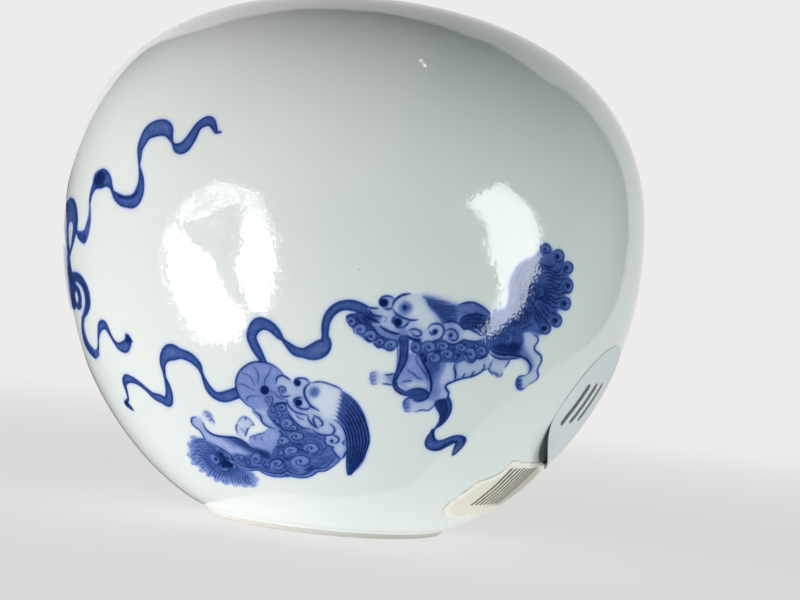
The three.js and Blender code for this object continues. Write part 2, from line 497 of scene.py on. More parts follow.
# A drawing is a group of marks on a closer view of the picture: its corner there, and steps per pixel.
# A mark is its kind, its settings and its points. Marks later in the list are painted over earlier ones.
edgeBow = {"corner": (50, 170), "zoom": 7.47, "marks": {
    "bands": ("wash", {"tone": 0.5}, "150,205 175,222 193,265 203,330 205,400 192,470 175,540 158,610"
    " 150,650 135,650 125,600 112,520 105,450 104,380 112,310 125,245; 98,560 115,575 130,640 150,652"
    " 160,760 172,800 178,850 165,900 150,960 165,1040 150,1050 135,990 120,900 110,800 104,700 98,620;"
    " 238,1092 262,1100 256,1160 268,1230 295,1295 335,1340 365,1345 368,1392 345,1405 312,1388 278,1342"
    " 252,1280 236,1190; 195,430 215,455 245,452 270,420 285,360 292,290 294,250 302,250 306,300 306,380"
    " 296,450 282,510 262,548 240,545 218,520 203,480"),
    "rims": ("wash", {"tone": 0.68}, "150,203 178,218 197,262 207,330 208,400 196,470 178,545 158,612"
    " 150,645 146,620 158,560 176,490 186,420 188,340 180,280 165,238 148,222; 125,245 112,310 104,390"
    " 108,470 118,540 130,610 146,640 140,600 128,520 122,450 122,380 128,300 138,250; 238,1092 248,1095"
    " 246,1170 258,1240 285,1310 320,1350 345,1402 312,1388 278,1342 252,1280 236,1190; 203,475 230,465"
    " 258,480 270,520 262,548 240,545 218,520; 165,768 205,765 240,795 275,855 298,930 303,1000 292,1050"
    " 266,1098 240,1100 256,1040 262,980 252,910 226,858 198,832 175,835; 176,838 200,852 224,900 240,975"
    " 238,1025 216,1046 194,1022 180,965 170,900; 165,880 182,960 196,1022 180,1045 160,1010 148,950"
    " 150,900; 125,720 150,700 165,760 182,820 185,860 165,880 145,850 130,800"),
    "openings": ("wash", {"tone": 0.06}, "150,385 165,392 170,440 162,510 152,590 145,560 140,500"
    " 140,430; 196,832 226,858 252,910 262,980 254,1042 240,1060 236,1000 236,940 216,880 190,850;"
    " 190,905 202,915 212,960 208,995 198,985 188,945"),
    "fold": ("wash", {"tone": 0.82, "blend": 3}, "330,45 350,15 390,5 408,30 405,90 380,125 345,115"
    " 325,95; 570,1240 595,1245 603,1275 590,1300 570,1290"),
    "knobs": ("dot", {"tone": 0.9}, "584,1262,26; 572,1742,24"),
    "foldLine": ("line", {"width": 2.6, "tone": 1.0}, "475,178 520,200 575,212 625,200 655,160 672,110"),
}}
# The ball that this bow is tied to lies past the picture's edge, so it is drawn at the front and turned.
edgeBall = {"corner": (0, 0), "zoom": 1, "turned": math.radians(-78.4), "marks": {
    "ball": ("ball", {}, "340,299,40"),
}}
crouchingTail = {"corner": (180, 410), "zoom": 14.25, "marks": {
    "bush": ("wash", {"tone": 0.3, "blend": 4}, "200,400 140,480 130,600 140,690 220,770 320,850 420,930"
    " 600,1020 780,1060 980,1085 1085,1070 1110,980 1040,920 950,870 860,830 760,720 640,590 520,515"
    " 400,450 300,400"),
    "rimCurls": ("curl", {"fill": 0.2, "rim": 0.4, "width": 1.4, "long": 1.2}, "190,395,36,150;"
    " 130,490,34,170; 130,640,34,180; 185,760,30,170; 300,865,34,180; 405,935,28,150; 520,1000,34,120;"
    " 660,1045,30,100; 800,1062,38,100; 930,1085,32,90; 1040,1065,44,60; 1085,985,42,60; 1020,925,34,-20"),
    "middle": ("wash", {"tone": 0.5, "blend": 9}, "273,490 473,454 600,526 763,672 872,817 1018,890"
    " 1018,961 800,981 600,944 436,835 291,690 236,581"),
    "strands": ("hair", {"count": 29, "width": 1.9, "tone": 0.78, "bow": 0.16}, "520,470 420,540 400,640"
    " 430,740 500,830 600,890 720,920 860,930 960,920 | 215,420 150,500 140,620 190,740 310,860 460,960"
    " 640,1040 820,1070 1050,1075"),
    "fineStrands": ("hair", {"count": 21, "width": 1.5, "tone": 0.2, "bow": 0.2, "over": True}, "400,560"
    " 350,680 400,790 480,870 600,920 740,940 860,950 | 190,450 150,560 160,680 230,790 340,890 500,985"
    " 680,1050 850,1085 1040,1085"),
    "heart": ("wash", {"tone": 0.66, "blend": 5}, "500,560 600,550 700,640 790,750 760,830 660,860"
    " 560,800 480,700"),
    "petals": ("wash", {"tone": 0.32}, "515,530 600,540 680,610 735,690 690,690 640,650 570,600 515,580;"
    " 435,640 490,640 550,700 555,755 500,765 445,700; 650,715 720,705 790,755 815,800 780,830 720,795;"
    " 575,800 650,805 690,850 640,870 580,850"),
    "petalLines": ("line", {"width": 1.8, "tone": 0.9}, "500,530 600,525 690,600 750,690 790,730; 520,590"
    " 590,580 660,640 700,690; 425,640 450,610 500,640 560,700 580,760 520,790 460,730 420,650; 580,690"
    " 640,680 740,700 830,740 900,790; 560,800 600,860 680,880 720,850; 700,760 770,770 810,810 790,860"),
    "petalHearts": ("dot", {"tone": 0.9}, "510,700,36; 590,630,42; 660,765,80; 615,805,36; 730,790,40"),
}}
crouchingBase = {"corner": (275, 365), "zoom": 15.68, "marks": {
    "base": ("wash", {"tone": 0.22}, "-370,685 -90,565 30,480 120,470 210,525 310,725 510,965 710,1045"
    " 910,1165 910,1365 510,1205 110,1045 -210,885"),
}}
crouchingBody = {"corner": (170, 330), "zoom": 6.817, "marks": {
    "coat": ("wash", {"tone": 0.43}, "680,700 740,650 820,690 900,680 960,690 1050,720 1110,720 1105,800"
    " 1150,870 1165,890 1110,930 1040,955 970,985 900,1003 850,1003 800,985 760,998 690,985 610,955"
    " 600,880 680,860 700,800"),
    "coatDark": ("wash", {"tone": 0.52, "blend": 9}, "700,740 780,720 830,760 930,770 920,800 830,800"
    " 760,800 760,840 700,850 690,800; 830,800 950,830 930,870 860,860 810,900 760,870"),
}}
crouchingHaunch = {"corner": (180, 410), "zoom": 14.25, "marks": {
    "haunch": ("wash", {"tone": 0.2}, "170,120 230,95 300,105 340,190 370,260 430,330 500,360 640,385"
    " 780,395 880,430 960,480 1040,540 1170,540 1290,600 1320,690 1240,720 1120,650 1000,625 900,640"
    " 800,640 720,640 640,570 520,505 420,450 360,420 310,330 280,280 200,225 160,170"),
    "haunchShade": ("wash", {"tone": 0.8, "blend": 6}, "600,385 760,400 880,440 970,500 1050,540 1180,560"
    " 1290,620 1310,700 1230,705 1130,655 1040,615 960,570 860,510 740,450"),
    "strip": ("wash", {"tone": 0.46}, "740,640 800,620 900,640 1000,625 1120,650 1240,720 1330,720"
    " 1568,760 1568,950 1450,940 1300,930 1130,840 1000,845 880,810 800,740"),
    "stripCurls": ("curl", {"fill": 0.36, "width": 1.7}, "850,690,60,160; 1085,700,88,150;"
    " 1385,785,105,150; 960,750,40,170; 1230,800,52,150"),
    "stripHair": ("line", {"width": 1.3, "tone": 0.75}, "930,640 960,700 1010,760 1060,800; 1180,690"
    " 1220,760 1260,860; 1140,720 1190,790 1220,860; 1300,850 1350,880 1440,890; 1470,790 1520,850"
    " 1560,880; 900,700 940,760 1000,800"),
    "topLine": ("line", {"width": 3.2, "tone": 0.98}, "335,180 355,250 420,320 500,360 640,385 760,390"
    " 860,425 960,490 1030,555"),
    "legLine": ("line", {"width": 2.2}, "240,98 175,110 162,175 205,235 280,290 320,350 365,430; 500,505"
    " 620,570 740,655"),
    "hindToes": ("wash", {"tone": 0.16, "blend": 2}, "330,20 410,30 470,110 505,190 470,215 420,170"
    " 350,110 300,60"),
    "hindPaw": ("line", {"width": 2.2, "tone": 0.6}, "340,30 400,60 440,110 480,160 500,190; 370,90"
    " 420,85; 410,150 460,140"),
    "fold": ("line", {"width": 1.7}, "1035,515 1100,492 1200,510 1290,575"),
    "backEdge": ("line", {"width": 2.4, "tone": 0.3, "over": True, "taper": 1}, "850,805 1000,842"
    " 1105,838 1200,885 1325,924 1465,930 1568,910"),
    "backLines": ("line", {"width": 2.1}, "790,740 880,790 1000,822 1100,820 1200,868 1330,905 1480,908"
    " 1568,890; 880,830 1000,862 1110,855 1200,905 1320,944 1450,952 1568,934"),
    "footLeg": ("wash", {"tone": 0.13}, "800,230 830,130 880,85 960,90 1060,190 1000,240 970,280 945,360"
    " 880,385 810,350"),
    "footLines": ("line", {"width": 2.0, "tone": 0.85}, "820,200 798,240 815,330; 990,250 960,280 940,350"
    " 925,380"),
    "toeArc": ("line", {"width": 1.9, "tone": 0.5}, "809,199 845,145 900,94 963,108 1018,163 1069,217;"
    " 850,250 900,300 930,330; 327,36 382,17 436,54 476,108"),
    "toes": ("dot", {"tone": 0.6}, "935,118,26; 1040,205,22; 1010,225,14; 900,92,12"),
}}
crouchingCoat = {"corner": (270, 430), "zoom": 15.68, "marks": {
    "edge": ("line", {"width": 2.6, "tone": 0.32, "over": True, "taper": 1}, "0,690 120,706 210,702"
    " 265,670 360,705 520,726 640,688 725,632 855,620 940,565 1015,500 1055,440"),
    "edgeLines": ("line", {"width": 2.1}, "0,712 120,732 205,735 270,700 380,736 540,746 660,712 750,654"
    " 860,642 950,592 1040,532 1075,480; 0,668 120,684 220,668 258,640 340,680 500,704 610,658 690,608"
    " 850,598 930,540 990,470 1035,400"),
    "curls": ("curl", {"fill": 0.3, "width": 1.9, "long": 1.22}, "410,100,88,200; 190,170,85,190;"
    " 335,322,80,150; 150,358,58,200; 650,290,95,200; 480,490,112,170; 105,520,85,160; 110,70,62,190"),
    "flow": ("line", {"width": 1.7, "tone": 0.8}, "520,60 620,60 720,90 800,150; 540,110 640,100 760,130"
    " 840,200; 560,160 640,150 740,180 800,240; 500,170 560,205 600,200; 760,200 820,260 850,330; 730,240"
    " 780,290 790,345; 600,385 700,392 800,372 880,320; 620,420 740,444 860,432 960,400 1020,360; 700,462"
    " 820,472 940,450 1010,420; 560,500 660,560 780,560 900,500; 600,545 700,590 800,585; 620,500 720,530"
    " 830,520 940,480; 230,410 300,440 380,410; 250,540 300,615 390,655; 320,580 400,640 490,668; 200,480"
    " 240,560 262,620; 290,235 380,262 480,262 545,285; 280,190 380,204 480,212 540,232; 560,600 640,620"
    " 690,600; 780,330 860,300 900,240; 860,180 900,230 960,260; 30,600 100,640 200,630; 40,430 90,420"
    " 150,440 220,520"),
    "hollows": ("line", {"width": 3.0, "tone": 0.86}, "300,190 420,225 540,240; 430,300 540,330 600,380;"
    " 30,240 120,262 240,262; 210,400 260,470 330,440; 540,640 620,610 690,560"),
}}
ballInMouth = {"corner": (185, 355), "zoom": 15.68, "marks": {
    "belly": ("wash", {"tone": 0.24}, "1000,1290 1100,1240 1230,1200 1330,1130 1430,1150 1480,1250"
    " 1450,1360 1400,1460 1250,1480 1100,1440 1010,1390"),
    "chest": ("wash", {"tone": 0.2}, "1100,700 1230,680 1290,800 1320,900 1420,1010 1520,1110 1480,1180"
    " 1420,1160 1330,1130 1260,1100 1200,1030 1180,950 1085,880 1060,820"),
    "ball": ("wash", {"tone": 0.27}, "1180,108 1320,135 1450,215 1545,330 1562,480 1530,640 1420,760"
    " 1280,830 1120,850 1000,800 880,690 805,560 797,430 850,270 980,150"),
    "ballLine": ("line", {"width": 2.4}, "1540,300 1450,210 1320,135 1180,108 1060,118 950,170 850,270"
    " 800,400 805,540 860,660 960,770 1085,845"),
    "ribs": ("line", {"width": 1.9, "tone": 0.75, "taper": 0.8}, "890,285 980,310 1045,370 1085,470;"
    " 1070,180 1130,250 1150,350 1140,450; 1345,195 1320,290 1260,370 1248,470; 830,458 920,462 1000,510"
    " 1100,560; 960,720 990,660 1050,642 1165,645; 1340,570 1400,592 1450,650 1540,700"),
    "hub": ("dot", {"tone": 0.98}, "1250,550,86"),
    "hubRing": ("line", {"width": 1.8}, "1330,620 1370,670 1370,740 1330,800 1290,790"),
    "knot": ("curl", {"fill": 0.42, "rim": 0.7, "width": 1.5}, "1305,705,58,20"),
    "chestLine": ("line", {"width": 2.4}, "1070,835 1085,880 1180,950 1200,1035 1260,1100 1330,1132"
    " 1420,1162"),
    "belts": ("line", {"width": 1.8, "tone": 0.78}, "1105,1345 1092,1285 1130,1252 1220,1232 1262,1198;"
    " 1205,1330 1190,1280; 1010,1300 1060,1265 1100,1262"),
}}
crouchingHead = {"corner": (275, 365), "zoom": 15.68, "marks": {
    "beard": ("wash", {"tone": 0.46}, "-80,640 30,590 160,590 200,680 270,800 380,930 470,990 400,1040"
    " 280,1050 120,1030 20,960 -60,860 -130,760"),
    "beardCurls": ("curl", {"fill": 0.3, "width": 1.7}, "110,670,72,180; 190,920,82,170; 60,780,50,200;"
    " -40,700,48,180; 20,880,48,190; 290,1000,55,150"),
    "beardLine": ("line", {"width": 2.6, "tone": 0.98}, "-100,790 -40,870 30,930 90,960 150,1015 280,1038"
    " 400,1005; -10,640 40,600 150,592 180,620"),
    "face": ("wash", {"tone": 0.16}, "20,290 30,210 70,170 130,168 190,205 260,255 300,240 350,210"
    " 440,205 510,230 560,280 650,265 750,268 880,310 1000,360 1060,430 1000,560 960,700 930,850 1020,890"
    " 1090,990 1115,1120 1110,1300 1130,1400 1060,1480 980,1420 900,1320 820,1260 780,1180 800,1100"
    " 700,1090 600,1030 560,1010 460,990 370,940 290,850 220,740 180,640 195,540 120,500 55,440 50,350"),
    "dome": ("wash", {"tone": 0.06, "blend": 5}, "600,330 750,300 900,350 1010,430 970,560 930,700"
    " 900,800 830,820 740,780 680,700 620,620 560,540 520,440 540,370"),
    "snout": ("line", {"width": 2.6}, "22,285 25,215 65,172 125,166 190,200 250,245"),
    "nostril": ("line", {"width": 2.2}, "70,440 60,370 95,340 150,355 175,420; 235,478 185,496 120,492"
    " 70,445"),
    "nostrilShade": ("dot", {"tone": 0.5}, "118,410,50"),
    "upperEye": ("line", {"width": 2.2}, "300,275 310,235 350,210 430,205 500,228 552,285"),
    "upperPupil": ("dot", {"tone": 0.98}, "352,282,62"),
    "lowerEye": ("line", {"width": 2.4}, "300,600 298,555 340,520 430,508; 560,658 500,694 420,688"
    " 345,655 310,620"),
    "lowerPupil": ("dot", {"tone": 1.0}, "370,592,66"),
    "brow": ("line", {"width": 2.8, "tone": 0.98}, "548,286 490,330 460,390 462,460 495,545 560,640"
    " 625,680 700,722"),
    "crown": ("line", {"width": 2.0}, "560,280 650,264 750,268 880,308 1000,358 1060,410"),
    "spot": ("wash", {"tone": 0.5, "blend": 3}, "545,400 610,350 690,370 695,430 650,500 590,500 545,460"),
    "lips": ("line", {"width": 2.4}, "190,540 200,610 255,690 330,742 430,770 520,785; 190,705 260,830"
    " 380,950 460,990 580,1005"),
    "lipInner": ("line", {"width": 1.7, "tone": 0.8}, "320,770 380,832 460,856"),
    "ear": ("line", {"width": 2.3}, "515,785 530,860 585,935 655,985 690,990; 600,785 690,835 745,905"
    " 735,950 690,955; 612,805 600,870 635,950 660,985"),
    "cheek": ("line", {"width": 2.4}, "580,1008 640,1055 720,1092 800,1100 890,1090 935,1035 915,970"
    " 845,912"),
    "lock": ("line", {"width": 2.2}, "900,1100 980,1128 1002,1180 960,1222 900,1228; 800,1110 780,1190"
    " 810,1250 880,1280 910,1290; 885,1295 930,1372 1000,1450 1050,1480; 1112,1350 1090,1410 1050,1470"),
    "lockHeart": ("dot", {"tone": 0.9}, "890,1190,34; 905,1295,24"),
    "farEye": ("line", {"width": 2.0}, "1092,1180 1070,1220 1090,1258"),
    "mane": ("wash", {"tone": 0.5, "blend": 2}, "1050,428 1100,430 1200,520 1320,660 1400,820 1450,1000"
    " 1475,1180 1440,1350 1400,1480 1330,1590 1242,1665 1175,1720 1150,1700 1170,1600 1130,1480 1120,1300"
    " 1125,1120 1090,990 1030,900 975,840 1005,700 1030,560"),
    "maneLocks": ("locks", {"count": 8, "width": 1.7, "tone": 1.3}, "1040,415 1150,505 1290,665 1390,845"
    " 1450,1025 1474,1185 1420,1365 1360,1505 1270,1625 1190,1725 | 930,855 1010,915 1080,1005 1120,1145"
    " 1134,1325 1130,1485 1126,1625 1140,1725"),
    "maneEdge": ("line", {"width": 1.9}, "1080,425 1200,515 1320,655 1400,815 1452,1000 1478,1190"
    " 1440,1345"),
}}
stridingTail = {"corner": (490, 235), "zoom": 15.68, "marks": {
    "bush": ("wash", {"tone": 0.46, "blend": 2}, "720,300 800,160 860,120 940,180 1000,260 1090,250"
    " 1150,320 1160,420 1230,460 1280,540 1230,640 1260,720 1290,800 1250,880 1170,930 1220,1040"
    " 1210,1130 1150,1170 1060,1180 1080,1290 1060,1390 1000,1430 930,1400 880,1500 800,1560 700,1590"
    " 560,1600 300,1640 60,1700 -60,1640 -117,1536 -63,1446 27,1302 63,1185 171,1168 243,1150 288,996"
    " 297,870 315,708 369,582 459,456 567,393 660,350"),
    "nearCurls": ("curl", {"fill": 0.42, "width": 2.1}, "872,225,92,150; 1068,335,92,200;"
    " 1212,515,96,210; 1205,800,108,220; 1172,1075,94,230; 1030,1345,98,220; 850,1465,88,200"),
    "curlHearts": ("dot", {"tone": 0.98}, "1060,340,44; 1195,520,40; 1225,795,46; 1165,1080,44;"
    " 1025,1345,48; 850,1460,52"),
    "heart": ("wash", {"tone": 0.74, "blend": 9}, "640,880 760,780 900,800 920,1000 860,1150 720,1240"
    " 560,1330 400,1440 330,1420 500,1200 560,1000"),
    "waves": ("line", {"width": 2.2, "tone": 0.98, "taper": 0.6}, "760,470 840,480 930,500 1000,480"
    " 1040,430; 800,530 900,530 970,560 1060,590 1110,530 1140,450; 830,600 930,590 1010,630 1090,640"
    " 1170,610; 850,660 930,650 1030,690 1110,690 1180,685; 860,720 950,710 1030,760 1100,780 1130,720"
    " 1190,690; 870,780 960,780 1040,830 1110,800; 880,850 980,840 1060,870 1130,850; 890,900 990,900"
    " 1080,940 1160,905 1220,895; 880,950 960,970 1030,1010 1110,990 1150,985; 870,1000 950,1020"
    " 1020,1070 1085,1060; 860,1060 930,1080 980,1130 1080,1140; 850,1120 900,1160 940,1220 1010,1225"
    " 1050,1250; 820,1160 860,1230 920,1280 945,1310; 780,1190 810,1280 870,1330 905,1400; 740,1210"
    " 770,1300 810,1360 815,1420; 700,1230 720,1320 770,1390 775,1450; 700,400 590,450 500,530 430,640"
    " 400,760; 720,480 620,530 540,620 490,720 470,850; 720,560 650,620 590,720 550,850; 700,660 650,720"
    " 620,800; 560,900 480,960 430,1050 440,1150"),
    "petals": ("curl", {"fill": 0.5, "width": 2.0}, "790,900,78,200; 640,1015,80,180; 775,1080,82,90;"
    " 612,1125,74,60; 660,890,60,200"),
    "backHair": ("line", {"width": 2.0, "tone": 0.9}, "560,1300 440,1370 300,1440 150,1520 20,1600;"
    " 640,1340 500,1400 360,1480 220,1560; 700,1400 600,1430 480,1500 400,1570; 600,1230 480,1290"
    " 340,1380 200,1450"),
}}
stridingHind = {"corner": (430, 330), "zoom": 12.06, "marks": {
    "leg": ("wash", {"tone": 0.13}, "1090,60 1230,20 1290,60 1310,130 1270,200 1270,250 1330,300 1350,360"
    " 1310,440 1290,490 1300,560 1260,620 1190,660 1120,715 1060,720 1035,660 1040,600 1080,560 1150,545"
    " 1200,500 1220,430 1180,360 1100,320 1000,310 1000,280 1090,260 1110,180"),
    "farLeg": ("wash", {"tone": 0.15}, "740,340 850,350 970,350 940,410 890,470 880,550 810,570 740,530"
    " 700,480 720,420"),
    "haunch": ("wash", {"tone": 0.78, "blend": 3}, "715,170 760,150 850,140 960,100 1110,80 1120,170"
    " 1100,260 1060,300 950,295 850,285 770,250"),
    "legShade": ("wash", {"tone": 0.5, "blend": 5}, "1060,250 1110,200 1150,260 1200,330 1240,430"
    " 1220,500 1190,480 1190,400 1130,330 1060,310"),
    "band": ("line", {"width": 2.2, "tone": 0.36, "over": True}, "725,260 790,300 870,322 980,322"
    " 1080,322"),
    "legLine": ("line", {"width": 3.4, "tone": 0.98}, "722,180 730,225 790,275 880,298 980,300 1090,318"
    " 1165,355 1210,420 1212,480 1170,540"),
    "bandLine": ("line", {"width": 2.4}, "720,285 790,330 880,350 1000,345 1080,340"),
    "backOfLeg": ("line", {"width": 2.3}, "1222,22 1250,50 1298,92 1302,140 1262,200 1270,250 1330,300"
    " 1346,370 1312,440 1295,490 1306,560 1270,612 1190,656"),
    "paw": ("line", {"width": 2.0, "tone": 0.7}, "1160,545 1085,558 1045,600 1038,660 1065,712 1120,718"
    " 1185,662"),
    "toes": ("wash", {"tone": 0.5, "blend": 2}, "1045,590 1095,580 1100,640 1110,700 1060,700 1040,650"),
    "toeLines": ("line", {"width": 1.8, "tone": 1.0}, "1150,550 1070,565 1050,600 1110,600; 1110,610"
    " 1045,625 1045,655 1105,650; 1110,660 1055,675 1075,712 1130,700"),
    "farLegLine": ("line", {"width": 2.0, "tone": 0.85}, "755,370 725,430 712,480 745,530; 965,350"
    " 940,405 900,460"),
    "farToes": ("line", {"width": 2.4, "tone": 0.7}, "720,490 750,520 760,545; 770,500 790,530 800,560;"
    " 800,520 820,550 815,575; 870,520 860,550 835,565"),
}}
stridingBack = {"corner": (420, 285), "zoom": 15.68, "marks": {
    "coat": ("wash", {"tone": 0.52}, "-120,900 60,885 230,880 340,830 380,860 440,910 540,930 640,890"
    " 690,860 760,880 880,885 1010,850 1160,820 1280,720 1500,640 1600,700 1600,900 1400,900 1120,960"
    " 1090,1060 1040,1110 960,1150 890,1150 820,1210 720,1190 560,1240 420,1265 300,1240 180,1210 60,1180"
    " -60,1100"),
    "belly": ("wash", {"tone": 0.17}, "150,1230 320,1270 540,1250 700,1205 820,1215 890,1160 1040,1120"
    " 1090,1120 1100,1200 1080,1300 1000,1340 920,1390 800,1440 640,1470 500,1520 420,1565 300,1640"
    " 200,1640 150,1400"),
    "underCoat": ("wash", {"tone": 0.55, "blend": 8}, "100,1200 300,1230 500,1240 560,1250 500,1290"
    " 380,1290 260,1330 230,1450 180,1600 120,1560 100,1350"),
    "bellyLine": ("line", {"width": 2.5}, "415,1565 500,1518 640,1470 800,1438 920,1388 1000,1335"
    " 1080,1310"),
    "ribs": ("line", {"width": 2.2, "tone": 0.88}, "545,1235 560,1350 540,1500; 705,1385 660,1465;"
    " 855,1345 790,1440; 1000,1230 1005,1300 950,1372"),
    "leaf": ("wash", {"tone": 0.09}, "360,600 450,575 560,585 640,635 690,695 760,695 850,725 930,775"
    " 1010,850 880,885 760,880 690,860 640,890 540,930 440,910 380,860 340,780 350,680"),
    "leafShade": ("wash", {"tone": 0.26, "blend": 5}, "400,640 520,640 620,720 660,800 600,870 480,900"
    " 400,840"),
    "sweep": ("wash", {"tone": 0.42, "blend": 4}, "-20,160 150,165 330,220 480,278 600,315 650,400"
    " 640,520 560,580 400,590 310,560 220,440 150,370 70,305 20,265 -10,210"),
    "sweepHair": ("hair", {"count": 9, "width": 1.6, "tone": 1.0, "bow": 0.05}, "-26,160 -6,210 24,262"
    " 74,300 154,370 224,440 274,500 304,560 | 560,300 600,340 625,380 640,420 630,470 610,520 570,560"
    " 520,585"),
    "tuft": ("wash", {"tone": 0.42}, "600,312 700,282 830,277 940,322 1040,392 1100,450 1060,490 900,455"
    " 760,475 660,505 620,440"),
    "tuftDark": ("wash", {"tone": 0.64}, "620,560 680,505 860,455 1000,482 1110,505 1120,600 1060,720"
    " 1010,800 900,700 780,685 690,680 640,610"),
    "tuftLines": ("line", {"width": 2.6}, "598,315 700,283 830,275 940,320 1040,390 1120,470; 620,555"
    " 690,500 860,455 1000,480 1110,505; 690,560 820,530 960,540 1040,570; 700,600 800,590 940,610;"
    " 760,640 860,650 960,690"),
    "curls": ("curl", {"fill": 0.34, "width": 2.0}, "140,990,88,200; 360,960,84,220; 220,1130,92,190;"
    " 430,1085,95,200; 650,985,86,200; 790,1090,108,180; 965,1040,88,210; 20,960,60,200; 540,1130,50,200;"
    " 870,960,48,200"),
    "rumpCurls": ("curl", {"fill": 0.48, "rim": 0.85, "width": 1.8}, "1185,870,78,200; 1375,830,105,200;"
    " 1280,760,52,190; 1500,740,70,200"),
    "leafLines": ("line", {"width": 2.5}, "345,610 450,572 560,582 640,630 690,690 760,685 850,720"
    " 930,770 1010,850; 1010,852 880,888 760,880 690,862 640,890 540,932 440,912 380,862"),
    "spiral": ("line", {"width": 2.3}, "390,725 450,692 530,702 590,770 582,840 535,872 480,855 450,805;"
    " 130,690 175,625 260,606 340,632 375,720 350,800 290,860 200,885 80,880; 130,730 170,775 235,760"
    " 258,712"),
    "spiralHearts": ("dot", {"tone": 0.95}, "482,790,40; 225,725,36"),
    "gaps": ("dot", {"tone": 0.9}, "90,1150,40; 290,1040,34; 610,1100,36; 720,1080,34; 540,1010,28;"
    " 700,940,30"),
    "coatEdge": ("line", {"width": 2.6}, "720,1192 820,1213 890,1152 960,1150 1040,1110 1075,1060"),
}}
stridingLegs = {"corner": (360, 340), "zoom": 15.68, "marks": {
    "farPaw": ("wash", {"tone": 0.09}, "170,490 300,480 400,520 545,520 560,620 520,705 440,700 350,692"
    " 200,700 155,620"),
    "farPawShade": ("wash", {"tone": 0.34, "blend": 5}, "400,550 540,545 530,620 480,640 400,600"),
    "farToes": ("wash", {"tone": 0.3, "blend": 3}, "175,520 260,510 265,600 250,680 190,680 165,600"),
    "farToeLines": ("line", {"width": 1.7, "tone": 0.62}, "250,500 180,520 165,560 235,565; 240,570"
    " 165,590 165,625 245,625; 240,632 180,650 190,690 265,695"),
    "farPawLines": ("line", {"width": 2.2, "tone": 0.9}, "390,540 450,550 545,525; 350,690 420,690"
    " 520,712"),
    "nearLeg": ("wash", {"tone": 0.15}, "1000,330 1200,340 1400,350 1500,370 1500,560 1480,640 1380,690"
    " 1340,740 1385,830 1370,900 1330,940 1240,960 1180,1000 1120,1080 1060,1105 860,1132 720,1130"
    " 675,1060 680,980 740,920 850,950 980,940 1080,880 1130,780 1130,600 1050,430"),
    "legShade": ("wash", {"tone": 0.62, "blend": 8}, "960,220 1080,260 1300,330 1290,420 1230,520"
    " 1170,700 1150,800 1100,830 1130,700 1090,560 1010,420"),
    "elbowShade": ("wash", {"tone": 0.4, "blend": 7}, "1150,760 1230,700 1260,800 1200,900 1100,930"
    " 1060,900"),
    "chest": ("wash", {"tone": 0.24}, "745,220 870,230 960,400 1050,590 1100,720 1060,800 980,765 860,765"
    " 760,785 690,765 600,690 560,640 620,540 700,400 735,330"),
    "chestPale": ("wash", {"tone": 0.08, "blend": 4}, "720,700 880,660 1050,700 1060,760 950,740 800,750"
    " 740,770"),
    "nearToes": ("wash", {"tone": 0.34, "blend": 3}, "690,960 770,940 780,1040 770,1110 700,1100 680,1030"),
    "nearToeLines": ("line", {"width": 1.7, "tone": 0.7}, "780,925 710,950 690,985 765,990; 770,998"
    " 690,1015 695,1050 770,1052; 770,1060 705,1075 720,1120 790,1122"),
    "chestRibbon": ("wash", {"tone": 0.6}, "600,-60 760,-60 745,200 725,330 640,490 570,610 560,670"
    " 610,750 700,800 760,785 860,765 980,770 1070,830 1080,880 1000,940 900,962 830,940 730,880 640,850"
    " 560,790 520,690 530,600 590,470 620,300 625,150"),
    "ribbonLines": ("line", {"width": 2.6, "tone": 0.98}, "625,-60 630,100 630,250 600,420 540,580"
    " 520,680 560,780 650,845 760,875 870,880; 755,-60 748,150 725,330 650,470 575,600 560,660 610,750"
    " 690,790; 740,800 860,768 980,772 1065,825 1070,890 1000,940 900,962 830,945"),
    "ribbonSide": ("line", {"width": 1.7, "tone": 0.6}, "585,-60 590,120 590,300 575,450 540,560"),
    "chestLines": ("line", {"width": 2.0, "tone": 0.88}, "725,440 765,485 840,530 900,590 1000,620;"
    " 650,662 740,640 815,645; 870,250 895,340 960,440 1030,550 1075,640"),
    "shoulderLine": ("line", {"width": 3.6, "tone": 0.98}, "945,225 970,320 1020,400 1080,520 1115,640"
    " 1115,780 1070,880"),
    "shoulderHook": ("line", {"width": 2.6}, "1020,230 1040,300 1050,350"),
    "legFront": ("line", {"width": 2.8, "tone": 0.96}, "1568,620 1480,645 1375,690 1340,740 1388,830"
    " 1372,900 1335,945; 1495,370 1480,440 1500,540 1485,640"),
    "pawLines": ("line", {"width": 2.0, "tone": 0.8}, "680,1050 688,965 750,912 830,922; 860,1132"
    " 960,1100 1060,1106 1120,1072 1170,1005"),
}}
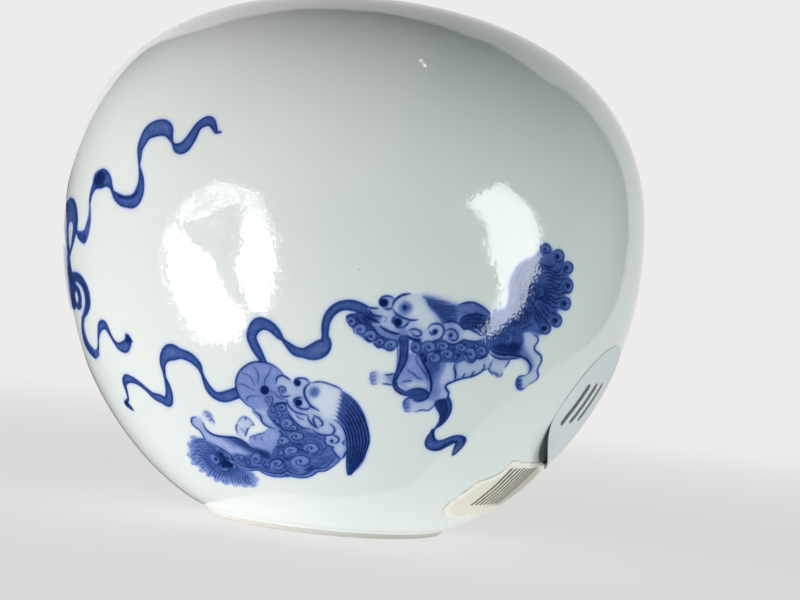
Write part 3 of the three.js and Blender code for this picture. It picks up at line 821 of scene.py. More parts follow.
stridingHead = {"corner": (345, 285), "zoom": 15.68, "marks": {
    "beard": ("wash", {"tone": 0.52}, "180,430 300,470 400,560 440,640 480,720 540,790 640,840 800,850"
    " 810,960 700,1015 560,985 450,880 300,840 200,780 130,700 30,590 20,520 100,470"),
    "face": ("wash", {"tone": 0.15}, "370,355 520,362 570,370 545,260 600,190 700,176 770,215 850,168"
    " 950,138 1040,132 1150,150 1250,210 1330,370 1450,490 1520,600 1560,700 1500,830 1300,890 1200,890"
    " 1100,850 1000,790 930,780 860,775 740,750 640,700 560,630 500,590 400,560 330,500 340,430"),
    "dome": ("wash", {"tone": 0.06, "blend": 5}, "820,240 950,180 1100,180 1200,280 1290,400 1400,520"
    " 1380,640 1250,660 1120,620 1150,545 1040,530 900,480 800,400"),
    "jaw": ("wash", {"tone": 0.3}, "430,640 540,640 640,720 760,775 860,790 800,860 640,838 540,790"
    " 480,720"),
    "muzzle": ("wash", {"tone": 0.7, "blend": 2}, "340,380 380,430 480,485 590,495 560,520 470,510"
    " 540,590 480,600 370,560 300,500 300,430"),
    "beardCurls": ("curl", {"fill": 0.32, "width": 2.0}, "105,575,78,220; 240,700,96,150; 398,805,95,150;"
    " 550,898,74,150; 718,935,92,150"),
    "beardBase": ("line", {"width": 2.6}, "20,540 40,490 110,465 170,475; 190,440 205,540 240,590 330,610"
    " 420,660 470,720; 300,800 370,880 450,880; 440,900 520,975 600,970; 610,975 690,1025 780,1010"),
    "beardHearts": ("dot", {"tone": 0.95}, "100,570,30; 405,805,32; 550,900,24"),
    "nose": ("line", {"width": 2.4}, "365,352 430,360 530,366; 370,378 410,440 480,480 595,490"),
    "mouth": ("line", {"width": 3.6, "tone": 0.98}, "310,470 360,520 440,545 545,595"),
    "noseWing": ("line", {"width": 1.8, "tone": 0.5}, "600,495 650,515 640,560 600,585"),
    "lip": ("line", {"width": 3.4, "tone": 0.96}, "545,635 610,690 700,735 800,762 870,765"),
    "jawLine": ("line", {"width": 2.2}, "430,645 480,722 545,790 640,838 760,858; 240,460 300,540 400,610"),
    "upperEye": ("line", {"width": 2.3}, "552,330 542,260 575,200 640,174 720,182 775,222; 620,368"
    " 690,382 745,350"),
    "upperPupil": ("dot", {"tone": 1.0}, "612,280,78"),
    "brow": ("line", {"width": 3.0, "tone": 0.98}, "745,345 762,270 820,205 900,158 1030,134"),
    "underBrow": ("line", {"width": 2.7, "tone": 0.98}, "755,385 800,450 880,500 980,538 1060,552"
    " 1150,543"),
    "lowerEye": ("line", {"width": 2.5}, "738,600 755,525 800,485; 790,655 860,668 935,650 985,605"
    " 1005,560"),
    "lowerPupil": ("dot", {"tone": 1.0}, "828,585,80"),
    "spot": ("wash", {"tone": 0.55, "blend": 4}, "850,370 880,290 970,275 1040,320 1040,390 980,440"
    " 890,430"),
    "spotHeart": ("dot", {"tone": 0.86}, "935,355,52"),
    "ear": ("line", {"width": 2.3}, "985,725 1060,690 1150,708 1200,760 1165,800 1085,792 1040,735;"
    " 970,800 1050,850 1110,880 1200,870"),
    "earShade": ("line", {"width": 4.2, "tone": 0.9}, "960,790 1040,840 1120,860 1190,850"),
    "cheekLock": ("line", {"width": 2.4}, "1300,690 1350,625 1440,606 1525,635 1555,715 1530,795 1470,855"
    " 1370,885 1260,880; 1320,725 1365,772 1430,755 1440,712 1395,690"),
    "cheekHeart": ("dot", {"tone": 0.95}, "1400,727,36"),
    "farHair": ("line", {"width": 1.6, "tone": 0.7}, "260,480 300,530 380,560; 240,520 330,580 420,590"),
    "neckCurls": ("curl", {"fill": 0.36, "width": 2.0}, "1105,980,96,200; 1315,980,100,200;"
    " 1390,1140,98,200"),
    "neckGaps": ("dot", {"tone": 0.9}, "1210,1100,44; 1260,1180,40; 1420,1060,30"),
    "smudge": ("wash", {"tone": 0.36, "blend": 3}, "860,690 930,670 970,730 930,780 870,770"),
}}
hangingRibbon = {"corner": (420, 395), "zoom": 24.1, "marks": {
    "fold": ("wash", {"tone": 0.74}, "350,190 420,120 600,100 640,220 670,340 660,450 600,560 480,690"
    " 350,800 450,640 480,540 440,400"),
    "foldLines": ("line", {"width": 1.9, "tone": 0.95}, "355,200 420,140 600,105 640,220 672,350 655,460"
    " 580,580 480,690 370,790; 380,300 450,390 490,500 460,640"),
    "loop": ("ribbon", {}, "300,830,1.5 280,920,3 250,1010,5.5 240,1120,8 300,1200,10 420,1210,9.5"
    " 560,1160,7 700,1090,6 850,1050,6.5 950,1080,7.5 960,1160,7.5 900,1270,6 830,1380,3.5 800,1440,2"),
}}

# They are painted in this order.
drawings = (
    edgeBow, edgeBall, crouchingBase, crouchingTail, crouchingBody, crouchingHaunch, crouchingCoat,
    ballInMouth, crouchingHead, stridingTail, stridingHind, stridingBack, stridingLegs, stridingHead,
    hangingRibbon,
)
# The cobalt sinks into the glaze and spreads: how far, in steps of the sheet, and its share there.
soaking = ((0.65, 0.69), (4.5, 0.33), (13.0, 0.08))


def paintPair(turn=0.0):  # two lions with their balls and ribbons
    brush = Brush(0, 0, 1, turn)
    for path in ribbons.values():
        brush.ribbon(path)
    closer = Brush(bridge["left"], bridge["top"], bridge["zoom"], turn)
    closer.ribbon(bridge["band"], thick=1 / bridge["zoom"])
    for drawing in drawings:
        brush = Brush(*drawing["corner"], drawing["zoom"], turn + drawing.get("turned", 0))
        for kind, settings, places in drawing["marks"].values():
            for place in places.split(";"):
                getattr(brush, kind)(place, **settings)


paintPair()
paintPair(math.pi)
ink[:] = sum(blurred(ink, spread) * share for spread, share in soaking)
print("painting done, %.0f%% of the sheet inked" % (100 * (ink > 0.05).mean()))


# The wall's mesh follows the painting: its cells are halved again where the ink changes.
mesh = {"columns": 160, "levels": 4, "lowerRows": 29, "upperRows": 26, "tolerance": 0.045, "parts": 4}


def inkAt(azimuth, arc):
    x = (azimuth / (2 * math.pi) * sheet["turnSteps"]) % sheet["turnSteps"]
    y = np.clip(arc / sheet["arcStep"], 0, sheetRows - 1.001)
    x0, y0 = np.floor(x).astype(int), np.floor(y).astype(int)
    fx, fy = x - x0, y - y0
    x1 = (x0 + 1) % sheet["turnSteps"]
    x0 = x0 % sheet["turnSteps"]
    top = ink[y0 + 1, x0] * (1 - fx) + ink[y0 + 1, x1] * fx
    low = ink[y0, x0] * (1 - fx) + ink[y0, x1] * fx
    return low * (1 - fy) + top * fy


def blockAny(marks):  # a coarser map that is true where any of the four cells under it is
    rows, columns = marks.shape
    return marks.reshape(rows // 2, 2, columns // 2, 2).any(axis=(1, 3))


def grown(marks):  # the cells beside marked ones are marked too, round the whole pot
    wide = marks | np.roll(marks, 1, 1) | np.roll(marks, -1, 1)
    tall = wide.copy()
    tall[1:] |= wide[:-1]
    tall[:-1] |= wide[1:]
    return tall


def splitMaps(fine, rows):  # for each level, which cells are halved
    levels = mesh["levels"]
    maps = []
    for level in range(levels):
        k = 2 ** (levels - level)
        corners = fine[::k, ::k]
        corners = np.concatenate([corners, corners[:, :1]], axis=1)
        share = np.arange(k) / k
        a, b = share[None, :, None, None], share[None, None, None, :]
        c = corners[:, None, :, None]
        flat = (
            c[:-1, :, :-1] * (1 - a) * (1 - b)
            + c[1:, :, :-1] * a * (1 - b)
            + c[:-1, :, 1:] * (1 - a) * b
            + c[1:, :, 1:] * a * b
        )
        cells = fine[:-1].reshape(rows * 2**level, k, mesh["columns"] * 2**level, k)
        maps.append(np.abs(cells - flat).max(axis=(1, 3)) > mesh["tolerance"])
    for level in range(levels - 1, 0, -1):
        maps[level - 1] |= blockAny(grown(maps[level]))
    return maps


def wallCells(arcLow, arcHigh, rows):  # cells of one half of the wall, on a fine lattice
    k = 2 ** mesh["levels"]
    arcs = np.linspace(arcLow, arcHigh, rows * k + 1)
    turns = np.arange(mesh["columns"] * k) * 2 * math.pi / (mesh["columns"] * k)
    fine = inkAt(turns[None, :], arcs[:, None])
    maps = splitMaps(fine, rows)
    present = np.ones((rows, mesh["columns"]), bool)
    cells = []
    for level in range(mesh["levels"] + 1):
        size = 2 ** (mesh["levels"] - level)
        if level < mesh["levels"]:
            halved = present & maps[level]
        else:
            halved = np.zeros_like(present)
        leaf = present & ~halved
        beside = [
            np.vstack([np.zeros_like(halved[:1]), halved[:-1]]),
            np.roll(halved, -1, 1),
            np.vstack([halved[1:], np.zeros_like(halved[:1])]),
            np.roll(halved, 1, 1),
        ]
        y, x = np.nonzero(leaf)
        hanging = np.stack([side[y, x] for side in beside], axis=1)
        cells.append((size, y * size, x * size, hanging))
        present = np.repeat(np.repeat(halved, 2, 0), 2, 1)
    return arcs, fine, cells


class Shell:  # gathers corners and faces, each corner with its direction, ink and place on the map
    def __init__(self):
        self.points, self.outward, self.cobalt, self.count = [], [], [], 0
        self.faces, self.flat, self.maps = [], [], []

    def add(self, points, outward, cobalt):
        first = self.count
        self.points.append(np.asarray(points, float).reshape(-1, 3))
        self.outward.append(np.asarray(outward, float).reshape(-1, 3))
        self.cobalt.append(np.broadcast_to(cobalt, len(self.points[-1])).astype(float))
        self.count += len(self.points[-1])
        return first + np.arange(self.count - first)

    def face(self, corners, places, flat=False):
        self.faces.append([int(corner) for corner in corners])
        self.maps.append(np.asarray(places, float))
        self.flat.append(flat)

    def build(self, name):
        data = bpy.data.meshes.new(name)
        data.from_pydata((np.vstack(self.points) * mm).tolist(), [], self.faces)
        layer = data.uv_layers.new(name="OFBake")
        layer.data.foreach_set("uv", np.concatenate(self.maps).astype(np.float32).ravel())
        attribute = data.attributes.new("cobalt", "FLOAT", "POINT")
        attribute.data.foreach_set("value", np.concatenate(self.cobalt).astype(np.float32))
        data.polygons.foreach_set("use_smooth", [not flat for flat in self.flat])
        data.update()
        corners = np.empty(len(data.loops), int)
        data.loops.foreach_get("vertex_index", corners)
        directions = np.vstack(self.outward)[corners]
        sizes = [len(face) for face in self.faces]
        faceNormals = np.empty(len(self.faces) * 3, np.float32)
        data.polygons.foreach_get("normal", faceNormals)
        spread = np.repeat(faceNormals.reshape(-1, 3), sizes, axis=0)
        isFlat = np.repeat(self.flat, sizes)
        directions[isFlat] = spread[isFlat]
        data.normals_split_custom_set(directions.tolist())
        return placed(name, data)


# Places on a wall piece's own flat map: the painted outside, the inside and the two cut ends.
mapAreas = {
    "outside": (0.01, 0.30, 0.99, 0.99),
    "inside": (0.01, 0.01, 0.62, 0.28),
    "startCut": (0.64, 0.01, 0.81, 0.28),
    "endCut": (0.82, 0.01, 0.99, 0.28),
}


def onMap(area, across, up):
    left, low, right, high = mapAreas[area]
    return np.stack([left + (right - left) * across, low + (high - low) * up], axis=-1)


# How the hollow is stepped: over the lip, down the shoulder and down the lower wall, as far as a
# little above the floor, and the radii of the rings on the floor.
hollow = {
    "lipSteps": 12,
    "shoulderSteps": 20,
    "lowerSteps": 26,
    "floorGap": 0.4,
    "floorRings": (pot["footRadius"] + 1.2, pot["footBore"], 6.0),
}


def insideLine():  # the glazed hollow from the mouth's lip down to the middle of the floor
    lipPlace, lipOut = shoulderLine(np.array([[lipAngle]]))
    centre = lipPlace[0] - pot["wall"] / 2 * lipOut[0]
    start = math.atan2(lipOut[0, 1], lipOut[0, 0])
    turns = start + math.pi * np.arange(1, hollow["lipSteps"])[:, None] / hollow["lipSteps"]
    roll = np.hstack([np.cos(turns), np.sin(turns)])
    lip = centre + pot["wall"] / 2 * roll
    spread = 1 - (1 - np.linspace(1, 0, hollow["shoulderSteps"])) ** pot["shoulderSpread"]
    angles = lipAngle * spread[:, None]
    shoulder, shoulderOut = shoulderLine(angles)
    upper = shoulder - pot["wall"] * shoulderOut
    lower = lowerLine(np.linspace(1, 0, hollow["lowerSteps"])[:, None])
    arcs = np.interp(lower[:, 1], outside[:, 1], arcAt)
    lowerOut = np.stack(outwardAt(arcs), axis=1)
    inner = lower - pot["wall"] * lowerOut
    inner[0] = pot["bodyRadius"] - pot["wall"], pot["bellyHeight"]
    floor = pot["baseRecess"] + pot["floorThickness"]
    keep = inner[:, 1] > floor + hollow["floorGap"]
    inner, innerOut = inner[keep], lowerOut[keep]
    flat = np.array([(radius, floor) for radius in hollow["floorRings"]])
    upperPart = np.vstack([lip, upper]), np.vstack([roll, -shoulderOut])
    lowerPart = np.vstack([inner, flat]), np.vstack([-innerOut, [(0, 1)] * len(flat)])
    return upperPart, lowerPart


def around(azimuths, line, directions):  # a profile turned to each azimuth: corners and directions
    azimuth = azimuths[:, None]
    points = roundAt(azimuth, line[None, :, 0], line[None, :, 1] + 0 * azimuth)
    outward = roundAt(azimuth, directions[None, :, 0], directions[None, :, 1] + 0 * azimuth)
    return points, outward


def cellRing(size):  # a cell's corners and the middles of its sides, in lattice steps up and across
    middle = size // 2
    corners = ((0, 0), (0, size), (size, size), (size, 0))
    middles = ((0, middle), (middle, size), (size, middle), (middle, 0))
    return corners, middles


# The narrow faces lie in rows along the foot of the inside's map area: a row's lower and upper edge.
narrowRows = {"joint": (0.0, 0.03), "under": (0.04, 0.07), "lip": (0.08, 0.11)}


class WallPart:  # a quarter of the way round, on the lower or the upper half of the wall
    def __init__(self, half, part, cells, line, directions):
        self.half, self.line, self.directions = half, line, directions
        self.arcs, self.fine, self.levels = cells
        self.step = 2 ** mesh["levels"]
        self.columns = mesh["columns"] // mesh["parts"]
        self.first = (part * self.columns - self.columns // 2) * self.step
        self.wide = self.columns * self.step
        self.wholeRound = mesh["columns"] * self.step
        self.shell = Shell()

    def build(self, name):
        used, chosen = self.chooseCells()
        places = self.addOutside(used)
        self.outsideFaces(chosen, places)
        self.insideFaces()
        if self.half == "lower":
            self.underAxis = self.axisCorner(pot["baseRecess"], -1)
            self.floorAxis = self.axisCorner(pot["baseRecess"] + pot["floorThickness"], 1)
        self.narrowFaces()
        self.cutFaces()
        return self.shell.build(name)

    def chooseCells(self):  # this part's cells, and the lattice corners that they need
        used = np.zeros((len(self.arcs), self.wide + 1), bool)
        chosen = []
        for size, y, x, hanging in self.levels:
            x = (x - self.first) % self.wholeRound
            here = x < self.wide
            y, x, hanging = y[here], x[here], hanging[here]
            corners, middles = cellRing(size)
            for dy, dx in corners:
                used[y + dy, x + dx] = True
            for side, (dy, dx) in enumerate(middles):
                mark = hanging[:, side]
                used[y[mark] + dy, x[mark] + dx] = True
            mark = hanging.any(axis=1)
            used[y[mark] + size // 2, x[mark] + size // 2] = True
            chosen.append((size, y, x, hanging))
        return used, chosen

    def addOutside(self, used):
        self.index = np.full(used.shape, -1)
        self.index[used] = np.arange(used.sum())
        rows, columns = np.nonzero(used)
        azimuth = (self.first + columns) * 2 * math.pi / self.wholeRound
        cobalt = self.fine[rows, (self.first + columns) % self.wholeRound]
        arcs = self.arcs[rows]
        self.shell.add(roundAt(azimuth, *wallAt(arcs)), roundAt(azimuth, *outwardAt(arcs)), cobalt)
        return onMap("outside", columns / self.wide, rows / (len(self.arcs) - 1))

    def outsideFaces(self, chosen, places):
        index, shell = self.index, self.shell
        for size, y, x, hanging in chosen:
            corners, middles = cellRing(size)
            plain = ~hanging.any(axis=1)
            quads = np.stack([index[y[plain] + dy, x[plain] + dx] for dy, dx in corners], axis=1)
            shell.faces.extend(quads.tolist())
            shell.maps.append(places[quads].reshape(-1, 2))
            shell.flat.extend([False] * len(quads))
            for cellY, cellX, sides in zip(y[~plain], x[~plain], hanging[~plain]):
                loop = []
                for corner, middle, halved in zip(corners, middles, sides):
                    loop.append(index[cellY + corner[0], cellX + corner[1]])
                    if halved:
                        loop.append(index[cellY + middle[0], cellX + middle[1]])
                heart = index[cellY + size // 2, cellX + size // 2]
                for one, two in zip(loop, loop[1:] + loop[:1]):
                    shell.face([heart, one, two], places[[heart, one, two]])

    def insideFaces(self):
        turns = (self.first + np.arange(self.columns + 1) * self.step) * 2 * math.pi / self.wholeRound
        points, outward = around(turns, self.line, self.directions)
        self.grid = self.shell.add(points, outward, 0).reshape(points.shape[:2])
        along = lengthsAlong(self.line)
        along = along / along[-1]
        across = np.linspace(0, 1, self.columns + 1)[:, None]
        spots = onMap("inside", across + 0 * along, along + 0 * across)
        for column in range(self.columns):
            for row in range(len(self.line) - 1):
                ring = (column, row), (column + 1, row), (column + 1, row + 1), (column, row + 1)
                self.shell.face([self.grid[at] for at in ring], [spots[at] for at in ring])

    def axisCorner(self, height, up):  # a corner on the axis, which faces up or down
        return self.shell.add(roundAt(0, 0, height)[None], [[0, 0, up]], 0)[0]

    def edgeChain(self, row, column):  # the outside's corners along one edge of a column
        span = self.index[row, column * self.step : (column + 1) * self.step + 1]
        return list(span[span >= 0])

    def narrowFace(self, column, outer, inner, kind, flat=True):
        low, high = narrowRows[kind]
        left, right = column / self.columns, (column + 1) / self.columns
        first = onMap("inside", np.linspace(left, right, len(outer)), np.full(len(outer), low))
        second = onMap("inside", np.linspace(right, left, len(inner)), np.full(len(inner), high))
        self.shell.face(outer + inner, np.vstack([first, second]), flat)

    def narrowFaces(self):  # the flat joint with the other half, then the base or the lip
        top, bottom = len(self.arcs) - 1, 0
        for column in range(self.columns):
            first = [self.grid[column + 1, 0], self.grid[column, 0]]
            last = [self.grid[column, -1], self.grid[column + 1, -1]]
            if self.half == "lower":
                self.narrowFace(column, self.edgeChain(top, column), first, "joint")
                under = self.edgeChain(bottom, column)[::-1]
                self.narrowFace(column, under, [self.underAxis], "under")
                self.narrowFace(column, last, [self.floorAxis], "under", False)
            else:
                self.narrowFace(column, self.edgeChain(bottom, column)[::-1], last, "joint")
                self.narrowFace(column, self.edgeChain(top, column), first, "lip", False)

    def cutFaces(self):  # the two ends, where the next parts of the wall go on
        for column, area in ((0, "startCut"), (self.columns, "endCut")):
            edge = self.index[:, column * self.step]
            loop = list(edge[edge >= 0]) + list(self.grid[column])
            if self.half == "lower":
                loop = [self.underAxis] + loop + [self.floorAxis]
            corners = np.vstack(self.shell.points)[loop]
            radius, height = np.hypot(corners[:, 0], corners[:, 1]), corners[:, 2]
            across = (radius - radius.min()) / np.ptp(radius)
            places = onMap(area, across, (height - height.min()) / np.ptp(height))
            if area == "endCut":
                loop, places = loop[::-1], places[::-1]
            self.shell.face(loop, places, True)


wallNames = ("front", "right", "back", "left")
upperInside, lowerInside = insideLine()
lowerCells = wallCells(baseArc, bellyArc, mesh["lowerRows"])
upperCells = wallCells(bellyArc, lipArc, mesh["upperRows"])
wallPieces = []
for part, side in enumerate(wallNames):
    lower = WallPart("lower", part, lowerCells, *lowerInside).build(side + "LowerWall")
    upper = WallPart("upper", part, upperCells, *upperInside).build(side + "UpperWall")
    for piece, node in ((lower, "lower_body"), (upper, "upper_body")):
        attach(piece, "root")
        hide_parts(node)
        wallPieces.append(piece)
    print(side, "wall:", len(lower.data.polygons), "and", len(upper.data.polygons), "faces")


# Finishes and growing trees are written as sums: each sign between wires lays a Math node.
def sumBy(operation, swapped=False):
    def method(self, other):
        return self.maths(operation, *((other, self) if swapped else (self, other)))

    return method


class Wire:  # a value that flows from one node to the next
    def __init__(self, laid, socket):
        self.laid, self.socket = laid, socket

    def maths(self, operation, first, second=0.0, clamp=False):
        settings = {"operation": operation, "use_clamp": clamp}
        return self.laid.node("ShaderNodeMath", settings, {0: first, 1: second})

    __add__, __radd__ = sumBy("ADD"), sumBy("ADD", True)
    __sub__, __rsub__ = sumBy("SUBTRACT"), sumBy("SUBTRACT", True)
    __mul__, __rmul__ = sumBy("MULTIPLY"), sumBy("MULTIPLY", True)
    __truediv__, __pow__, __mod__ = sumBy("DIVIDE"), sumBy("POWER"), sumBy("MODULO")
    __gt__, __lt__ = sumBy("GREATER_THAN"), sumBy("LESS_THAN")
    larger, smaller = sumBy("MAXIMUM"), sumBy("MINIMUM")

    def clamped(self):
        return self.maths("ADD", self, 0.0, True)

    def worked(self, operation):  # for an operation on one number
        return self.maths(operation, self)


class Laid:  # lays nodes in its tree
    def feed(self, socket, value):
        if isinstance(value, Wire):
            self.tree.links.new(value.socket, socket)
        elif socket.type == "RGBA" and len(value) == 3:
            socket.default_value = (*value, 1)
        else:
            socket.default_value = value

    def node(self, kind, settings=None, values=None, output=0):
        node = self.tree.nodes.new(kind)
        for title, value in (settings or {}).items():
            if title == "stops":
                self.setStops(node.color_ramp.elements, value)
            else:
                setattr(node, title, value)
        for title, value in (values or {}).items():
            self.feed(node.inputs[title], value)
        return Wire(self, node.outputs[output])

    def setStops(self, elements, stops):
        while len(elements) < len(stops):
            elements.new(1.0)
        for element, (place, colour) in zip(elements, stops):
            element.position = place
            element.color = (*colour, 1)


class Finish(Laid):  # one material, with its fixed values on the shader's own sockets
    def __init__(self, name, **fixed):
        self.material = bpy.data.materials.new(name)
        self.material.use_nodes = True
        self.tree = self.material.node_tree
        self.shader = self.tree.nodes["Principled BSDF"]
        for title, value in fixed.items():
            self.give(title.replace("_", " "), value)

    def give(self, title, value):  # a value or a wire for one of the shader's sockets
        self.feed(self.shader.inputs[title], value)

    def place(self):  # metres from the object's own middle
        return self.node("ShaderNodeTexCoord", output="Object")

    def height(self):
        return self.node("ShaderNodeSeparateXYZ", values={0: self.place()}, output="Z")

    def stored(self, name):
        return self.node("ShaderNodeAttribute", {"attribute_name": name}, output="Fac")

    def noise(self, perMm, detail=2.0, rough=0.5):
        values = {"Vector": self.place(), "Scale": perMm / mm, "Detail": detail, "Roughness": rough}
        return self.node("ShaderNodeTexNoise", values=values)

    def cells(self, perMm):  # how far the nearest of the scattered points is
        values = {"Vector": self.place(), "Scale": perMm / mm}
        return self.node("ShaderNodeTexVoronoi", {"feature": "F1"}, values, "Distance")

    def ramp(self, factor, *stops):
        return self.node("ShaderNodeValToRGB", {"stops": stops}, {"Fac": factor})

    def mixed(self, share, first, second):
        settings = {"data_type": "RGBA", "clamp_factor": True}
        return self.node("ShaderNodeMix", settings, {"Factor": share, 6: first, 7: second}, 2)

    def bump(self, height, depth, under=None):  # depth in mm
        values = {"Height": height, "Distance": depth * mm, "Strength": 1.0}
        if under:
            values["Normal"] = under
        return self.node("ShaderNodeBump", values=values)

    def wear(self, piece):
        piece.data.materials.clear()
        piece.data.materials.append(self.material)


# The glaze: sizes in millimetres, colours as they scatter light.
glazeLook = {
    "pale": (0.715, 0.745, 0.728),
    "paleGreen": (0.665, 0.715, 0.695),
    "cloudsPerMm": 0.045,
    "cloudContrast": 2.4,
    "cloudFrom": 0.7,
    "streaksPerMm": 1.1,
    "fineStreaksPerMm": 3.2,
    "specksPerMm": 0.23,
    "speckRadius": 0.028,
    "speckClumpsPerMm": 0.11,
    "peelPerMm": 2.5,
    "peelDepth": 0.0095,
    "swellPerMm": 0.4,
    "swellDepth": 0.011,
    "pinholesPerMm": 1.6,
    "pinholeRadius": 0.16,
    "pinholeDepth": 0.006,
    "pinholeClumpsPerMm": 0.5,
    "pinholeClumpFrom": 0.56,
    "speckShare": 0.34,
    "speck": (0.3, 0.27, 0.22),
    "cobaltGrain": (0.66, 0.42, 0.26),
    "cobaltEdge": 14,
    "cobaltStops": (
        (0.0, (0.64, 0.69, 0.725)),
        (0.12, (0.5, 0.57, 0.69)),
        (0.3, (0.17, 0.24, 0.52)),
        (0.55, (0.038, 0.079, 0.275)),
        (0.78, (0.0095, 0.027, 0.125)),
        (1.0, (0.003, 0.01, 0.065)),
    ),
}


def glazeFinish(name):
    look = glazeLook
    finish = Finish(name, Roughness=0.045)
    streaks = finish.noise(look["streaksPerMm"], 3.0, 0.6)
    fine = finish.noise(look["fineStreaksPerMm"], 2.0, 0.6)
    laid = finish.stored("cobalt")
    even, coarse, close = look["cobaltGrain"]
    pooled = (laid * (even + streaks * coarse + fine * close)).clamped()
    clouds = finish.noise(look["cloudsPerMm"], 2.0)
    clouded = (clouds * look["cloudContrast"] - look["cloudFrom"]).clamped()
    pale = finish.mixed(clouded, look["pale"], look["paleGreen"])
    painted = finish.ramp(pooled, *look["cobaltStops"])
    colour = finish.mixed((laid * look["cobaltEdge"]).clamped(), pale, painted)
    # Iron specks, few and faint.
    clumps = finish.noise(look["speckClumpsPerMm"])
    speck = finish.cells(look["specksPerMm"]) < clumps * look["speckRadius"] * 2
    colour = finish.mixed(speck * look["speckShare"], colour, look["speck"])
    finish.give("Base Color", colour)
    peel = finish.bump(finish.noise(look["peelPerMm"], 0.0), look["peelDepth"])
    swell = finish.bump(finish.noise(look["swellPerMm"], 1.0), look["swellDepth"], peel)
    pinholes = (1 - finish.cells(look["pinholesPerMm"]) / look["pinholeRadius"]).clamped()
    pinholes = pinholes * (finish.noise(look["pinholeClumpsPerMm"]) > look["pinholeClumpFrom"])
    pits = finish.bump(1 - pinholes, look["pinholeDepth"], swell)
    finish.give("Normal", pits)
    return finish


glaze = glazeFinish("glazedPorcelain")
for piece in wallPieces:
    glaze.wear(piece)


# The foot ring: bare biscuit where it stands, glazed above a wavering line.
foot = {
    "turns": 256,
    "wobble": 0.035,
    "seed": 4.0,
    "glazeLine": 0.68,
    "glazeLineWander": 0.16,
    "glazeLineSoft": 0.12,
    "wanderPerMm": 0.12,
    "grainPerMm": 2.6,
    "patchesPerMm": 0.16,
    "patchShare": 0.3,
    "burntShare": 0.35,
    "gritDepth": 0.05,
    "glazeDepth": 0.05,
    "biscuit": (0.8, 0.765, 0.71),
    "biscuitPale": (0.86, 0.84, 0.79),
    "burnt": (0.74, 0.66, 0.56),
    "burntHalf": 0.16,
    "rough": 0.78,
    "glazedRough": 0.07,
    "edgeRound": 0.22,
    "edgeRise": 0.07,
    "recessKnee": (0.25, 1.2),
    "innerKnee": (0.03, 0.3),
    "joinWithin": 0.002,
    "sharpAngle": 0.9,
}


def footFinish():
    finish = Finish("footBiscuitAndGlaze")
    wander = finish.noise(foot["wanderPerMm"], 3.0) - 0.5
    height = finish.height() / mm
    line = height - (foot["glazeLine"] + wander * foot["glazeLineWander"] * 2)
    glazed = (line / foot["glazeLineSoft"] + 0.5).clamped()
    grain = finish.noise(foot["grainPerMm"], 5.0, 0.65)
    patches = finish.noise(foot["patchesPerMm"], 3.0)
    bare = finish.mixed(grain, foot["biscuit"], foot["biscuitPale"])
    bare = finish.mixed((patches * 3 - 1.5).clamped() * foot["patchShare"], bare, foot["burnt"])
    rim = (1 - line.worked("ABSOLUTE") / foot["burntHalf"]).clamped()
    bare = finish.mixed(rim * foot["burntShare"], bare, foot["burnt"])
    pale = finish.mixed(patches, glazeLook["pale"], glazeLook["paleGreen"])
    finish.give("Base Color", finish.mixed(glazed, bare, pale))
    rough = foot["rough"] - glazed * (foot["rough"] - foot["glazedRough"])
    finish.give("Roughness", rough)
    grit = finish.bump(grain * (1 - glazed), foot["gritDepth"])
    finish.give("Normal", finish.bump(glazed, foot["glazeDepth"], grit))
    return finish


def footProfile():  # radius and height round the ring's section, counter-clockwise
    shares = np.linspace(0, findShare(lambda share: lowerLine(share)[1] < pot["baseRecess"], 0, 1), 8)
    outer = lowerLine(shares[:, None])
    outer[-1, 1] = pot["baseRecess"]
    inner = pot["footBore"] + pot["footBoreTaper"]
    standing = pot["footRadius"] - pot["footTaper"]
    edge, rise = foot["edgeRound"], foot["edgeRise"]
    kneeIn, kneeHeight = foot["recessKnee"]
    innerIn, innerHeight = foot["innerKnee"]
    section = [(inner + edge, 0), (standing - edge, 0), (standing - edge * 0.3, rise)]
    section += [tuple(point) for point in outer]
    section += [
        (pot["footBore"] - pot["recessShoulder"], pot["baseRecess"]),
        (pot["footBore"] - kneeIn, kneeHeight),
        (inner - innerIn, innerHeight),
        (inner + edge * 0.3, rise),
    ]
    return section


def nodeTree(name, sizes):  # a geometry tree with an input for each named size
    tree = bpy.data.node_groups.new(name, "GeometryNodeTree")
    tree.interface.new_socket("Geometry", in_out="INPUT", socket_type="NodeSocketGeometry")
    for title, value in sizes.items():
        kind = "NodeSocketInt" if isinstance(value, int) else "NodeSocketFloat"
        socket = tree.interface.new_socket(title, in_out="INPUT", socket_type=kind)
        socket.default_value = value
    tree.interface.new_socket("Geometry", in_out="OUTPUT", socket_type="NodeSocketGeometry")
    return tree


class Grower(Laid):  # a geometry tree that grows a piece from a mesh
    def __init__(self, name, sizes):
        self.tree = nodeTree(name, sizes)
        self.sizes = sizes
        self.start = self.tree.nodes.new("NodeGroupInput")
        self.end = self.tree.nodes.new("NodeGroupOutput")

    def size(self, title):
        return Wire(self, self.start.outputs[title])

    def grow(self, name, geometry, material, base):  # keeps the result as a plain piece
        real = self.node("GeometryNodeRealizeInstances", values={"Geometry": geometry})
        dressed = self.node("GeometryNodeSetMaterial", values={"Geometry": real, "Material": material})
        self.feed(self.end.inputs[0], dressed)
        carrier = placed(name + "Carrier", base)
        modifier = carrier.modifiers.new("grow", "NODES")
        modifier.node_group = self.tree
        for socket in self.tree.interface.items_tree:
            if socket.in_out == "INPUT" and socket.name in self.sizes:
                modifier[socket.identifier] = self.sizes[socket.name]
        graph = bpy.context.evaluated_depsgraph_get()
        data = bpy.data.meshes.new_from_object(carrier.evaluated_get(graph), depsgraph=graph)
        bpy.data.objects.remove(carrier)
        data.name = name
        return placed(name, data)


